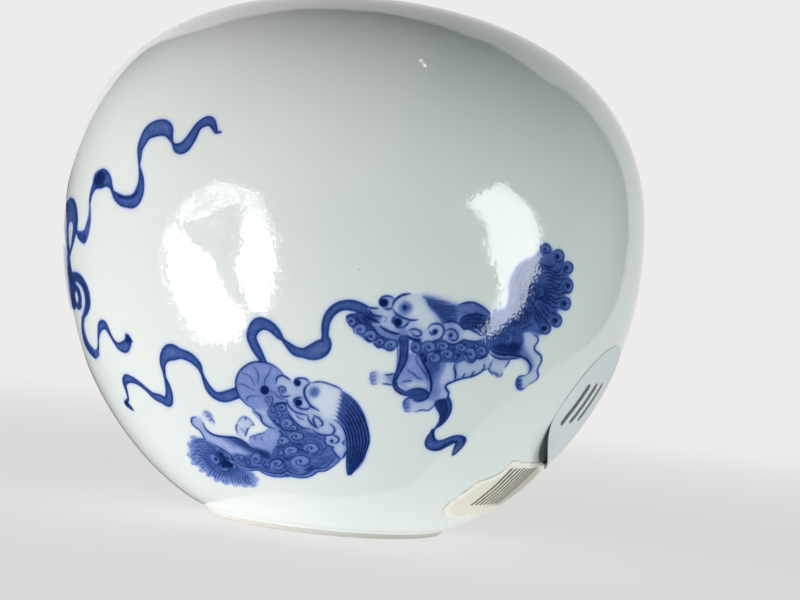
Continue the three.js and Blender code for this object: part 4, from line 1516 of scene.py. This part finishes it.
def turnedRing(grower, corners):  # the section's corners laid round the axis, with a slight wobble
    turns = grower.size("Turns")
    sizes = {"Vertices X": turns + 1.0, "Vertices Y": corners + 1}
    grid = grower.node("GeometryNodeMeshGrid", values=sizes)
    index = grower.node("GeometryNodeInputIndex")
    column = (index / (corners + 1.0)).worked("FLOOR")
    onSection = index % (corners + 1.0) % float(corners)
    position = grower.node("GeometryNodeInputPosition")
    taken = {"Geometry": grower.size("Geometry"), "Value": position, "Index": onSection}
    point = grower.node("GeometryNodeSampleIndex", {"data_type": "FLOAT_VECTOR"}, taken)
    radius = grower.node("ShaderNodeSeparateXYZ", values={0: point}, output="X")
    height = grower.node("ShaderNodeSeparateXYZ", values={0: point}, output="Z")
    angle = column / turns % 1.0 * (2 * math.pi)
    cosine, sine = angle.worked("COSINE"), angle.worked("SINE")
    ring = grower.node("ShaderNodeCombineXYZ", values={"X": cosine, "Y": sine, "Z": height})
    waves = {"Vector": ring, "W": grower.size("Seed"), "Scale": 3.0, "Detail": 2.0}
    noise = grower.node("ShaderNodeTexNoise", {"noise_dimensions": "4D"}, waves)
    shift = (noise - 0.5) * grower.size("Wobble")
    wide = radius + shift * (1.0 - height / (pot["baseRecess"] * mm))
    goal = {"X": wide * cosine, "Y": wide * sine, "Z": height}
    place = grower.node("ShaderNodeCombineXYZ", values=goal)
    turned = grower.node("GeometryNodeSetPosition", values={"Geometry": grid, "Position": place})
    joined = {"Geometry": turned, "Distance": foot["joinWithin"] * mm}
    return grower.node("GeometryNodeMergeByDistance", values=joined)


def faceOutwards(data):  # turns the faces the right way out and shades them smooth
    shape = bmesh.new()
    shape.from_mesh(data)
    bmesh.ops.recalc_face_normals(shape, faces=shape.faces)
    shape.to_mesh(data)
    shape.free()
    data.polygons.foreach_set("use_smooth", [True] * len(data.polygons))


def makeFoot():
    section = footProfile()
    base = bpy.data.meshes.new("footSection")
    base.from_pydata([(radius * mm, 0, height * mm) for radius, height in section], [], [])
    sizes = {"Turns": foot["turns"], "Wobble": foot["wobble"] * mm, "Seed": foot["seed"]}
    grower = Grower("turnedRing", sizes)
    closed = turnedRing(grower, len(section))
    piece = grower.grow("footRing", closed, footFinish().material, base)
    faceOutwards(piece.data)
    piece.data.set_sharp_from_angle(angle=foot["sharpAngle"])
    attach(piece, "root")
    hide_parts("foot_ring")
    print("foot ring:", len(piece.data.polygons), "faces")


makeFoot()


# The two papers lie on the wall. Across and up are millimetres from a paper's own middle.
def onPaper(azimuth, climb, across, up, lift):
    arc = np.clip(climb + up, 0, bellyArc)
    radius, height = wallAt(arc)
    outAcross, outUp = outwardAt(arc)
    turn = math.radians(azimuth) + across / radius
    return roundAt(turn, radius + outAcross * lift, height + outUp * lift)


# The rings of a paper's mesh stand closer near its edge, and its top bends down there.
paperEdge = {"evenTo": 0.9, "closeRings": (0.955, 0.985, 1.0), "bendFrom": 0.985, "bend": 0.3}


def paperFaces(levels, count):  # the faces of the top and the underside, and those of the cut edge
    def corner(side, level, index):
        return 2 + side * levels * count + level * count + index % count

    faces = []
    for index in range(count):
        faces.append((0, corner(0, 0, index), corner(0, 0, index + 1)))
        faces.append((1, corner(1, 0, index + 1), corner(1, 0, index)))
        for level in range(levels - 1):
            for side in (0, 1):
                ring = [(level, index), (level + 1, index), (level + 1, index + 1), (level, index + 1)]
                if side:
                    ring = ring[:1] + ring[:0:-1]
                faces.append(tuple(corner(side, *at) for at in ring))
        ring = (0, index), (1, index), (1, index + 1), (0, index + 1)
        faces.append(tuple(corner(side, levels - 1, at) for side, at in ring))
    return faces


def paperPiece(name, look, edge, liftAt, thick, rings):
    # The edge is the outline's points round the middle, and liftAt gives the paper's height.
    shares = np.concatenate([np.linspace(0, paperEdge["evenTo"], rings), paperEdge["closeRings"]])[1:]
    flat = shares[:, None, None] * edge[None]
    across, up = flat[..., 0].ravel(), flat[..., 1].ravel()
    share = np.repeat(shares, len(edge))
    lift = liftAt(across, up, share)
    bendFrom = paperEdge["bendFrom"]
    soften = thick * paperEdge["bend"] * np.clip((share - bendFrom) / (1 - bendFrom), 0, 1)
    nought = np.zeros(1)
    middle = liftAt(nought, nought, nought)
    layers = (
        (nought, nought, middle + thick), (nought, nought, middle),
        (across, up, lift + thick - soften), (across, up, lift),
    )
    points = np.vstack([onPaper(look["azimuth"], look["climb"], *layer) for layer in layers])
    faces = paperFaces(len(shares), len(edge))
    data = bpy.data.meshes.new(name)
    data.from_pydata((points * mm).tolist(), [], faces)
    data.polygons.foreach_set("use_smooth", [True] * len(faces))
    data.set_sharp_from_angle(angle=0.7)
    data.update()
    for title, values in (("across", across), ("up", up), ("toEdge", share)):
        attribute = data.attributes.new(title, "FLOAT", "POINT")
        attribute.data.foreach_set("value", np.concatenate([[0, 0], values, values]).astype(np.float32))
    return placed(name, data)


# A round sticker that comes away from the glaze along its lower left side.
sticker = {
    "azimuth": 67.0,
    "climb": 26.8,
    "radius": 9.35,
    "thick": 0.1,
    "seat": -0.02,
    "liftTowards": 232.0,
    "liftSpread": 46.0,
    "lift": 1.8,
    "wave": 0.02,
    "waves": 5,
    "peelBend": 1.7,
    "paper": (0.60, 0.645, 0.68),
    "paperPale": (0.68, 0.72, 0.745),
    "inkMark": (0.035, 0.04, 0.038),
    # Painted shade: a dark sheet on the glaze under the sticker, seen in the gap where its edge lifts.
    "paintedShade": (0.1, 0.12, 0.115),
    "paintedShadeMottled": (0.17, 0.19, 0.18),
    "markWidth": 1.2,
    "markShare": 0.82,
    # Painted shade at the paper's edge: its colour, and where and how strongly it darkens the rim.
    "edgeShade": (0.5, 0.52, 0.52),
    "paintedShadeThick": 0.03,
    "paintedShadeSeat": -0.005,
    "paintedShadeReach": 0.985,
    "corners": 96,
    "fibresPerMm": 2.2,
    "cloudsPerMm": 0.1,
    "fibreDepth": 0.012,
    "edgeShadeFrom": 0.975,
    "edgeShadeShare": 0.35,
}
# Plain tally strokes in pen: each runs from its first to its second point on the paper.
tallyStrokes = ((-6.2, -1.8, -4.8, 3.2), (-3.6, -1.5, -2.2, 3.4), (-0.9, -1.2, 0.5, 3.5))


def stickerLift(across, up, share):
    angle = np.degrees(np.arctan2(up, across)) % 360
    away = np.abs(angle - sticker["liftTowards"]) / sticker["liftSpread"]
    peel = np.clip(1 - away, 0, 1)
    peel = peel * peel * (3 - 2 * peel)
    rise = np.clip((share - 0.5) / 0.5, 0, 1) ** sticker["peelBend"]
    ripple = sticker["wave"] * (1 + np.sin(np.radians(angle * sticker["waves"]) + 1)) * share**6
    return sticker["seat"] + sticker["lift"] * peel * rise + ripple


# A stroke's unsteadiness and its soft edge, in millimetres.
pen = {"shakesPerMm": 0.9, "shake": 0.3, "softEdge": 0.12}


def strokeMask(finish, strokes, width):  # 1 on the strokes, from the paper's own places
    shake = (finish.noise(pen["shakesPerMm"], 2.0) - 0.5) * pen["shake"]
    across, up = finish.stored("across") + shake, finish.stored("up")
    total = None
    for x0, y0, x1, y1 in strokes:
        length = math.hypot(x1 - x0, y1 - y0)
        ahead, aside = (x1 - x0) / length, (y1 - y0) / length
        along = ((across - x0) * ahead + (up - y0) * aside).larger(0.0).smaller(length)
        offX = across - (along * ahead + x0)
        offY = up - (along * aside + y0)
        away = (offX * offX + offY * offY) ** 0.5
        mask = ((width / 2 - away) / pen["softEdge"] + 0.5).clamped()
        total = mask if total is None else total.larger(mask)
    return total


def stickerFinish():
    finish = Finish("blueGreySticker", Roughness=0.42)
    fibres = finish.noise(sticker["fibresPerMm"], 4.0, 0.6)
    clouds = finish.noise(sticker["cloudsPerMm"], 2.0)
    paper = finish.mixed((fibres * 0.5 + clouds * 0.6).clamped(), sticker["paper"], sticker["paperPale"])
    # Painted shade: the paper darkens towards its edge, for the thin shadow line round its rim.
    edgeShadeFrom = sticker["edgeShadeFrom"]
    edgeShade = ((finish.stored("toEdge") - edgeShadeFrom) / (1 - edgeShadeFrom)).clamped() * sticker["edgeShadeShare"]
    paper = finish.mixed(edgeShade, paper, sticker["edgeShade"])
    marks = strokeMask(finish, tallyStrokes, sticker["markWidth"])
    faded = marks * (sticker["markShare"] + fibres * 0.3).clamped()
    finish.give("Base Color", finish.mixed(faded, paper, sticker["inkMark"]))
    finish.give("Normal", finish.bump(fibres, sticker["fibreDepth"]))
    return finish


def paintedShadeFinish():  # painted shade: a dark sheet on the glaze under the sticker, darkening the gap below its lifted edge
    finish = Finish("stickerPaintedShade", Roughness=0.6)
    shadeMottle = finish.noise(0.7, 4.0, 0.6)
    finish.give("Base Color", finish.mixed(shadeMottle, sticker["paintedShade"], sticker["paintedShadeMottled"]))
    finish.give("Normal", finish.bump(shadeMottle, 0.03))
    return finish


def paintedShadeLift(across, *_):  # the painted shade sheet lies flat on the glaze
    return 0 * across + sticker["paintedShadeSeat"]


def makeSticker():
    angles = np.arange(sticker["corners"]) * 2 * math.pi / sticker["corners"]
    edge = sticker["radius"] * np.stack([np.cos(angles), np.sin(angles)], axis=1)
    piece = paperPiece("roundSticker", sticker, edge, stickerLift, sticker["thick"], 14)
    stickerFinish().wear(piece)
    # A dark sheet of painted shade under the sticker, for the shaded gap below its lifted edge.
    paintedShade = paperPiece("stickerPaintedShade", sticker, edge * sticker["paintedShadeReach"], paintedShadeLift, sticker["paintedShadeThick"], 4)
    paintedShadeFinish().wear(paintedShade)
    for part in (piece, paintedShade):
        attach(part, "root")
        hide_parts("round_sticker")
    print("sticker:", len(piece.data.polygons), "faces and", len(paintedShade.data.polygons), "on its gum")


makeSticker()


# What is left of a torn paper label, with plain printed bars.
label = {
    "azimuth": 57.0,
    "climb": 11.2,
    "outline": "9.5,0.2 9.3,2.6 8,4.9 5.6,6.3 4.2,6.8 2,6.7 -1,6.9 -3,6.85 -5,7.1 -5.3,6.3 -5.8,4.6 -7.3,3.5"
    " -8.1,2.6 -8.6,0.2 -8.3,-2.1 -7.2,-3.8 -5.2,-4.7 -3,-5 0,-5.3 3,-5.1 6,-4.4 8.3,-2.8",
    "thick": 0.11,
    "seat": -0.06,
    "tear": 0.22,
    "crease": 0.05,
    "flutter": 0.05,
    "seed": 11,
    "cream": (0.7, 0.66, 0.55),
    "creamPale": (0.76, 0.73, 0.64),
    "foxed": (0.62, 0.52, 0.36),
    "ink": (0.085, 0.08, 0.068),
    "fade": (0.3, 0.28, 0.23),
    "barWidth": 0.6,
    "barPitch": 0.98,
    "barStart": -3.9,
    "barFoot": -1.5,
    "barHead": 5.6,
    "bars": 8,
    "fibres": 260,
    "fibreLength": 0.38,
    "fibreThick": 0.02,
    "fibreRise": 0.35,
    "fibreShortest": 0.35,
    "fibreLift": 0.09,
    "bared": (0.86, 0.84, 0.78),
    "baredFrom": 0.86,
    "fibresPerMm": 2.4,
    "patchesPerMm": 0.22,
    "foxedShare": 0.35,
    "creasesPerMm": 0.45,
    "creaseDepth": 0.12,
    "fibreDepth": 0.03,
    # Waves of the torn edge: how many go round, and how deep each kind is.
    "waves": ((9, 0.5), (23, 0.35), (61, 0.3), (117, 0.25)),
}
barPlaces = [label["barStart"] + label["barPitch"] * bar for bar in range(label["bars"])]
printedBars = [(across, label["barFoot"], across, label["barHead"]) for across in barPlaces]


def labelEdge():
    points = smoothPath(readPath(label["outline"]), 0.16, True)
    draw = np.random.default_rng(label["seed"])
    count = len(points)
    rough = np.zeros(count)
    for waves, size in label["waves"]:
        phase = draw.uniform(0, 2 * math.pi)
        rough += size * np.sin(np.arange(count) * 2 * math.pi * waves / count + phase)
    outwards = points / np.linalg.norm(points, axis=1, keepdims=True)
    return points + outwards * (rough * label["tear"])[:, None]


def labelLift(across, up, share):
    crease = label["crease"] * np.exp(-((across + 2 * up - 1) ** 2) / 3)
    flutter = label["flutter"] * (1 + np.sin(across * 1.7 + 1) * np.cos(up * 2.1)) * share**4
    return label["seat"] + crease + flutter


def labelFinish():
    finish = Finish("creamLabel", Roughness=0.62)
    fibres = finish.noise(label["fibresPerMm"], 5.0, 0.65)
    patches = finish.noise(label["patchesPerMm"], 3.0)
    paper = finish.mixed(fibres, label["cream"], label["creamPale"])
    paper = finish.mixed((patches * 3 - 1.5).clamped() * label["foxedShare"], paper, label["foxed"])
    ragged = finish.stored("toEdge") - label["baredFrom"] + (fibres - 0.5) * 0.12
    bared = (ragged / 0.04).clamped()
    paper = finish.mixed(bared * 0.6, paper, label["bared"])
    marks = strokeMask(finish, printedBars, label["barWidth"])
    printed = marks * (1 - bared) * (0.72 + fibres * 0.4).clamped()
    # The print's right part has faded to a grey patch.
    across, up = finish.stored("across"), finish.stored("up")
    faded = ((across + 1.0) / 4).clamped() * ((up + 2.5) * 2).clamped()
    faded = faded * ((6.1 - up) * 2).clamped() * (1 - bared)
    paper = finish.mixed(faded * (0.4 + fibres * 0.3), paper, label["fade"])
    finish.give("Base Color", finish.mixed(printed, paper, label["ink"]))
    creases = finish.bump(finish.noise(label["creasesPerMm"], 3.0), label["creaseDepth"])
    finish.give("Normal", finish.bump(fibres + bared * 0.6, label["fibreDepth"], creases))
    return finish


def scatterFibres(grower):  # short bent threads on the points of a torn edge
    rim = grower.node("GeometryNodeMeshToCurve", values={"Mesh": grower.size("Geometry")})
    spread = {"Curve": rim, "Count": grower.size("Fibres")}
    along = grower.node("GeometryNodeCurveToPoints", values=spread)
    bend = {"Resolution": 4, "Start": (0, 0, 0), "Middle": (0.5, 0.12, 0), "End": (1, 0, 0)}
    strand = grower.node("GeometryNodeCurveQuadraticBezier", values=bend)
    section = {"Resolution": 3, "Radius": label["fibreThick"]}
    profile = grower.node("GeometryNodeCurvePrimitiveCircle", values=section)
    swept = {"Curve": strand, "Profile Curve": profile}
    thread = grower.node("GeometryNodeCurveToMesh", values=swept)
    seed, rise = grower.size("Seed"), label["fibreRise"]
    spans = {0: (-rise, -rise, -math.pi), 1: (rise, rise, math.pi), "Seed": seed}
    turn = grower.node("FunctionNodeRandomValue", {"data_type": "FLOAT_VECTOR"}, spans)
    spans = {2: label["fibreShortest"], 3: 1.0, "Seed": seed}
    long = grower.node("FunctionNodeRandomValue", {"data_type": "FLOAT"}, spans, 1)
    laid = {"Points": along, "Instance": thread, "Rotation": turn, "Scale": long * grower.size("Length")}
    return grower.node("GeometryNodeInstanceOnPoints", values=laid)


def makeFibres(edge, finish):
    lift = label["seat"] + label["fibreLift"]
    ring = onPaper(label["azimuth"], label["climb"], edge[:, 0], edge[:, 1], lift)
    links = [(index, (index + 1) % len(ring)) for index in range(len(ring))]
    base = bpy.data.meshes.new("tornEdge")
    base.from_pydata((ring * mm).tolist(), links, [])
    length = label["fibreLength"] * mm
    grower = Grower("tornFibres", {"Fibres": label["fibres"], "Length": length, "Seed": label["seed"]})
    return grower.grow("tornFibres", scatterFibres(grower), finish.material, base)


def makeLabel():
    edge = labelEdge()
    finish = labelFinish()
    piece = paperPiece("tornLabel", label, edge, labelLift, label["thick"], 12)
    finish.wear(piece)
    fibres = makeFibres(edge, finish)
    for part in (piece, fibres):
        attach(part, "root")
        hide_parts("label_remnant")
    print("label:", len(piece.data.polygons), "faces and", len(fibres.data.polygons), "on its fibres")


makeLabel()


# What stands round the pot and shows in its glaze. Each outline is traced in the picture, and its
# corners stand where the eye's rays go when the wall turns them back.
def bounced(across, down, reach):
    azimuth, arc, _ = touchWall(across, down)
    radius, height = wallAt(arc)
    point = roundAt(azimuth, radius, height)
    outAcross, outUp = outwardAt(arc)
    normal = roundAt(azimuth, outAcross, outUp)
    ray = point - np.array(eyeAxes()[0])
    ray /= np.linalg.norm(ray, axis=1, keepdims=True)
    back = ray - 2 * (ray * normal).sum(axis=1, keepdims=True) * normal
    down = np.where(back[:, 2] < 0, (point[:, 2] - 0.5) / np.maximum(-back[:, 2], 1e-6), reach)
    return point + back * np.minimum(reach, down)[:, None]


def glowing(name, colour, strength, mottle=(0, 0)):
    finish = Finish(name, Base_Color=(0, 0, 0), Roughness=1.0)
    finish.give("Specular IOR Level", 0.0)
    deep, few = mottle
    if deep:
        spots = (finish.noise(1.7, 4.0, 0.75) * 7 - few).clamped()
        colour = finish.mixed(spots, tuple(part * (1 - deep) for part in colour), colour)
    finish.give("Emission Color", colour)
    finish.give("Emission Strength", strength)
    return finish


def studioCard(name, points, faces, finish):
    data = bpy.data.meshes.new(name)
    data.from_pydata((points * mm).tolist(), [], faces)
    card = placed(name, data)
    finish.wear(card)
    card.visible_camera = card.visible_diffuse = False
    card.visible_shadow = card.visible_transmission = False


lampCards = {"reach": 38.0, "light": (0.98, 1.0, 0.99)}
# The closer views that the outlines are traced on: corner in the picture and steps per pixel.
cardView = {"left": (160, 170, 8.71), "right": (450, 170, 8.71), "spark": (180, 0, 5.227)}
# A card's view, its glow, and its outline across and down that view.
cardOutlines = {
    "lowWindow": ("left", 13.0, "105,455 190,525 300,660 430,740 500,880 560,1020 640,1130 740,1240"
                  " 730,1370 660,1480 560,1515 440,1500 340,1430 210,1290 120,1060 70,880 60,760 80,560"),
    "tallWindow": ("left", 13.0, "725,400 790,370 900,430 960,520 1000,700 1010,880 980,1000 960,1140"
                   " 900,1240 800,1235 740,1100 670,930 655,800 700,700 710,560"),
    "curtain": ("left", 4.2, "160,410 260,275 370,200 470,125 590,130 700,145 800,190 890,240 915,340"
                " 930,440 880,420 790,350 690,330 660,250 600,300 500,345 400,400 300,450 190,430"),
    "gap": ("left", 0.5, "190,440 400,400 600,300 700,340 700,560 690,700 650,800 670,930 740,1100"
            " 790,1220 740,1230 640,1120 560,1010 500,870 430,730 300,650 190,520"),
    "rightWindow": ("right", 10.5, "150,300 230,220 330,160 450,120 520,160 600,220 680,310 740,400"
                    " 780,500 785,620 790,720 770,860 710,1000 650,1130 600,1240 500,1320 400,1400"
                    " 330,1470 290,1420 320,1340 370,1240 420,1100 430,980 390,840 330,720 320,560"
                    " 320,460 270,420 190,340"),
    "spark": ("spark", 16.0, "1244,312 1251,307 1283,342 1276,348"),
}
# How deep a card's dark spots are, and how few.
mottles = {"curtain": (0.6, 3.1), "gap": (0.6, 3.6), "rightWindow": (0.25, 3.2)}
for title, (view, glow, outline) in cardOutlines.items():
    left, top, zoom = cardView[view]
    path = readPath(outline)
    corners = bounced(left + path[:, 0] / zoom, top + path[:, 1] / zoom, lampCards["reach"])
    light = glowing(title, lampCards["light"], glow, mottles.get(title, (0, 0)))
    studioCard(title, corners, [tuple(range(len(corners)))], light)

# Flecks break up the lights' edges and make up the gauzy curtain, as on the fine-grained glaze: kind,
# glow, reach, count, seed, smallest and largest in steps of the view, and how far off the edge.
fleckGroups = {
    "lowWindow": (("bright", 13.0, 37.9, 210, 3, 14, 32, 62), ("dark", 0.4, 37.5, 200, 4, 12, 28, -40)),
    "tallWindow": (("bright", 13.0, 37.9, 200, 5, 14, 32, 66), ("dark", 0.4, 37.5, 190, 6, 12, 28, -42)),
    "rightWindow": (("bright", 10.0, 37.9, 170, 7, 12, 30, 32), ("dark", 0.3, 37.5, 240, 8, 12, 28, -46)),
    "curtain": (("bright", 14.0, 37.9, 150, 9, 12, 30, 44), ("dark", 0.5, 37.5, 120, 10, 12, 28, -34)),
}
# Flecks strewn within an outline: kind, glow, reach, count, seed, smallest and largest.
scatteredFlecks = {
    "curtain": (("Pale", 6.0, 37.8, 260, 11, 18, 40), ("Bright", 16.0, 37.6, 230, 12, 14, 32)),
    "gap": (("Bright", 8.0, 35.5, 75, 13, 12, 28),),
}


def insideOf(path, spots):  # which spots lie within an outline
    within = np.zeros(len(spots), bool)
    for (x0, y0), (x1, y1) in zip(np.roll(path, 1, axis=0), path):
        if y0 != y1:
            spans = (y0 > spots[:, 1]) != (y1 > spots[:, 1])
            within ^= spans & (spots[:, 0] < x0 + (spots[:, 1] - y0) * (x1 - x0) / (y1 - y0))
    return within


# A fleck is an uneven rhomb: its corners along and across it, in halves of its size.
fleckCorners = ((-1, -0.5), (0, -1), (1, 0.3), (0.2, 1))
fleckSlimness = (0.35, 0.8)


def fleckCard(title, view, glow, reach, middles, leans, small, large, draw):
    left, top, zoom = cardView[view]
    count = len(middles)
    wide = draw.uniform(small, large, count)[:, None]
    slim = wide * draw.uniform(*fleckSlimness, count)[:, None]
    along = np.stack([np.cos(leans), np.sin(leans)], axis=1)
    aside = np.stack([-along[:, 1], along[:, 0]], axis=1)
    corners = [middles + along * wide / 2 * a + aside * slim / 2 * b for a, b in fleckCorners]
    spots = np.stack(corners, axis=1).reshape(-1, 2)
    points = bounced(left + spots[:, 0] / zoom, top + spots[:, 1] / zoom, reach)
    faces = [tuple(range(4 * index, 4 * index + 4)) for index in range(count)]
    studioCard(title, points, faces, glowing(title, lampCards["light"], glow))


def makeFlecks():
    for title, groups in fleckGroups.items():
        view, _, outline = cardOutlines[title]
        path = smoothPath(readPath(outline), 4, True)
        ahead = np.roll(path, -1, axis=0) - path
        ahead /= np.linalg.norm(ahead, axis=1, keepdims=True)
        outwards = np.stack([ahead[:, 1], -ahead[:, 0]], axis=1)
        for kind, glow, reach, count, seed, small, large, far in groups:
            draw = np.random.default_rng(seed)
            at = draw.integers(0, len(path), count)
            off = far * draw.uniform(-0.15, 1, count)[:, None]
            leans = np.arctan2(ahead[at, 1], ahead[at, 0]) + draw.normal(0, 0.5, count)
            middles = path[at] + outwards[at] * off
            fleckCard(title + kind, view, glow, reach, middles, leans, small, large, draw)
    for title, groups in scatteredFlecks.items():
        view, _, outline = cardOutlines[title]
        path = smoothPath(readPath(outline), 4, True)
        for kind, glow, reach, count, seed, small, large in groups:
            draw = np.random.default_rng(seed)
            spots = draw.uniform(path.min(axis=0), path.max(axis=0), (count * 5, 2))
            spots = spots[insideOf(path, spots)][:count]
            leans = draw.uniform(0, math.pi, len(spots))
            fleckCard(title + "Gauze" + kind, view, glow, reach, spots, leans, small, large, draw)


makeFlecks()

# The dim side of the room, out to the bright band that shows along the rim and the foot.
dimRoom = {
    "reach": 150.0,
    "rows": 30,
    "columns": 60,
    "light": (0.9, 1.0, 0.98),
    "glow": 0.02,
    "upper": "67,225 66,200 70,175 82,140 99,105 128,66 152,46 180,35.4 205,28.7 230,21 256,15.3 287,10.5"
    " 318,8.6 352,10 383,12.4 410,18.2 438,24.9 465,34.7 493,45.2 514,57.9 533,70.5 545,81 564,89.4"
    " 583,106.3 600,126.3 613,147.3 623,174.7 627.3,200 629.4,227",
    "lower": "67,235 67,262 71,300 80,340 94,382 112,421 136,460 160,486 190,502 226,500 262,492 294,494"
    " 332,497 370,495 409,485 430,466 450,452 470,437 490,415 518,393 545,374 570,356 590,343 606,324"
    " 615,305 623,280 627,252 629.4,235",
}


def evenly(path, count):
    curve = smoothPath(readPath(path), 2)
    along = lengthsAlong(curve)
    at = np.linspace(0, along[-1], count)
    return np.stack([np.interp(at, along, curve[:, 0]), np.interp(at, along, curve[:, 1])], axis=1)


def makeDimRoom():
    rows, columns = dimRoom["rows"], dimRoom["columns"]
    upper, lower = evenly(dimRoom["upper"], columns), evenly(dimRoom["lower"], columns)
    share = np.linspace(0, 1, rows)[:, None, None]
    spots = (upper[None] * (1 - share) + lower[None] * share).reshape(-1, 2)
    points = bounced(spots[:, 0], spots[:, 1], dimRoom["reach"])
    faces = []
    for row in range(rows - 1):
        for column in range(columns - 1):
            first = row * columns + column
            faces.append((first, first + 1, first + columns + 1, first + columns))
    studioCard("dimRoom", points, faces, glowing("dimRoom", dimRoom["light"], dimRoom["glow"]))


makeDimRoom()
print("studio cards placed")

studio = {
    "background": (0.85, 0.84, 0.835),
    "roomLight": (0.93, 1.0, 0.975),
    "roomStrength": 0.02,
    "floorGrey": (0.8, 0.8, 0.8),
    "floorHalf": 3,
    "nearShare": 0.78,
    "fadeStart": 0.04,
    "fadeEnd": 0.42,
}
# Lamps: azimuth from the painted front, distance, height and width in metres, and power in watts.
lamps = {
    "side": {"azimuth": -95, "distance": 0.55, "height": 0.07, "width": 0.3, "tall": 0.14, "power": 0.9,
             "colour": (1.0, 0.98, 0.972)},
    "key": {"azimuth": -60, "distance": 0.55, "height": 0.03, "width": 0.3, "tall": 0.06, "power": 2.25,
            "colour": (1.0, 0.98, 0.972)},
    "fill": {"azimuth": 52, "distance": 0.55, "height": 0.05, "width": 0.3, "tall": 0.1, "power": 1.35,
             "colour": (0.9, 1.0, 0.975)},
    "back": {"azimuth": 175, "distance": 0.6, "height": 0.1, "width": 0.3, "tall": 0.18, "power": 0.84,
             "colour": (1.0, 1.0, 1.0)},
}
# A glowing board on the floor before the pot lights it from below: edges and height in metres, and glow.
board = {"left": -0.06, "right": 0.14, "near": 0.0, "far": 0.3, "height": 0.0006, "glow": 0.58}
lampTarget = (0, 0, 0.035)


def seenDirectly(tree):  # 1 for rays from the camera, mirrors and clear things
    path = tree.nodes.new("ShaderNodeLightPath")
    total = path.outputs["Is Camera Ray"]
    for title in ("Is Glossy Ray", "Is Transmission Ray"):
        larger = tree.nodes.new("ShaderNodeMath")
        larger.operation = "MAXIMUM"
        tree.links.new(total, larger.inputs[0])
        tree.links.new(path.outputs[title], larger.inputs[1])
        total = larger.outputs[0]
    return total


def makeFloor():
    data = bpy.data.meshes.new("floor")
    signs = ((-1, -1), (1, -1), (1, 1), (-1, 1))
    corners = [(studio["floorHalf"] * x, studio["floorHalf"] * y, 0) for x, y in signs]
    data.from_pydata(corners, [], [(0, 1, 2, 3)])
    floor = placed("floor", data)
    finish = Finish("floor", Base_Color=studio["floorGrey"], Roughness=0.9)
    finish.give("Specular IOR Level", 0.0)
    away = finish.node("ShaderNodeVectorMath", {"operation": "LENGTH"}, {0: finish.place()}, "Value")
    fade = ((away - studio["fadeStart"]) / (studio["fadeEnd"] - studio["fadeStart"])).clamped()
    fade = fade * fade * (3 - fade * 2)
    near = studio["nearShare"]
    bright = (near + fade * (1 - near)) * Wire(finish, seenDirectly(finish.tree))
    backdrop = finish.node("ShaderNodeEmission", values={"Color": studio["background"], "Strength": 1.0})
    shader = Wire(finish, finish.shader.outputs[0])
    mixed = finish.node("ShaderNodeMixShader", values={0: bright, 1: shader, 2: backdrop})
    finish.tree.links.new(mixed.socket, finish.tree.nodes["Material Output"].inputs["Surface"])
    finish.wear(floor)


def makeWorld():
    world = bpy.data.worlds.new("world")
    world.use_nodes = True
    tree = world.node_tree
    room = tree.nodes["Background"]
    room.inputs["Color"].default_value = (*studio["roomLight"], 1)
    room.inputs["Strength"].default_value = studio["roomStrength"]
    backdrop = tree.nodes.new("ShaderNodeBackground")
    backdrop.inputs["Color"].default_value = (*studio["background"], 1)
    mixed = tree.nodes.new("ShaderNodeMixShader")
    tree.links.new(seenDirectly(tree), mixed.inputs[0])
    tree.links.new(room.outputs[0], mixed.inputs[1])
    tree.links.new(backdrop.outputs[0], mixed.inputs[2])
    tree.links.new(mixed.outputs[0], tree.nodes["World Output"].inputs["Surface"])
    bpy.context.scene.world = world


def makeLamp(title, wide, deep, power, turn, colour=(1, 1, 1)):
    data = bpy.data.lights.new(title, "AREA")
    data.shape, data.size, data.size_y, data.energy = "RECTANGLE", wide, deep, power
    data.color = colour
    light = placed(title, data)
    light.matrix_world = turn
    light.visible_glossy = light.visible_camera = False


def makeLamps():
    for title, lamp in lamps.items():
        turn = math.radians(lamp["azimuth"])
        place = Vector((math.sin(turn), -math.cos(turn), 0)) * lamp["distance"]
        place.z = lamp["height"]
        facing = (Vector(lampTarget) - place).to_track_quat("-Z", "Y").to_matrix().to_4x4()
        turned = Matrix.Translation(place) @ facing
        makeLamp(title, lamp["width"], lamp["tall"], lamp["power"], turned, lamp["colour"])
    wide, deep = board["right"] - board["left"], board["far"] - board["near"]
    middle = (board["left"] + board["right"]) / 2, -(board["near"] + board["far"]) / 2, board["height"]
    turned = Matrix.Translation(middle) @ Matrix.Rotation(math.pi, 4, "X")
    makeLamp("middleBoard", wide, deep, board["glow"] * math.pi * wide * deep, turned)


makeFloor()
makeWorld()
makeLamps()
bpy.context.scene.view_settings.view_transform = "Standard"
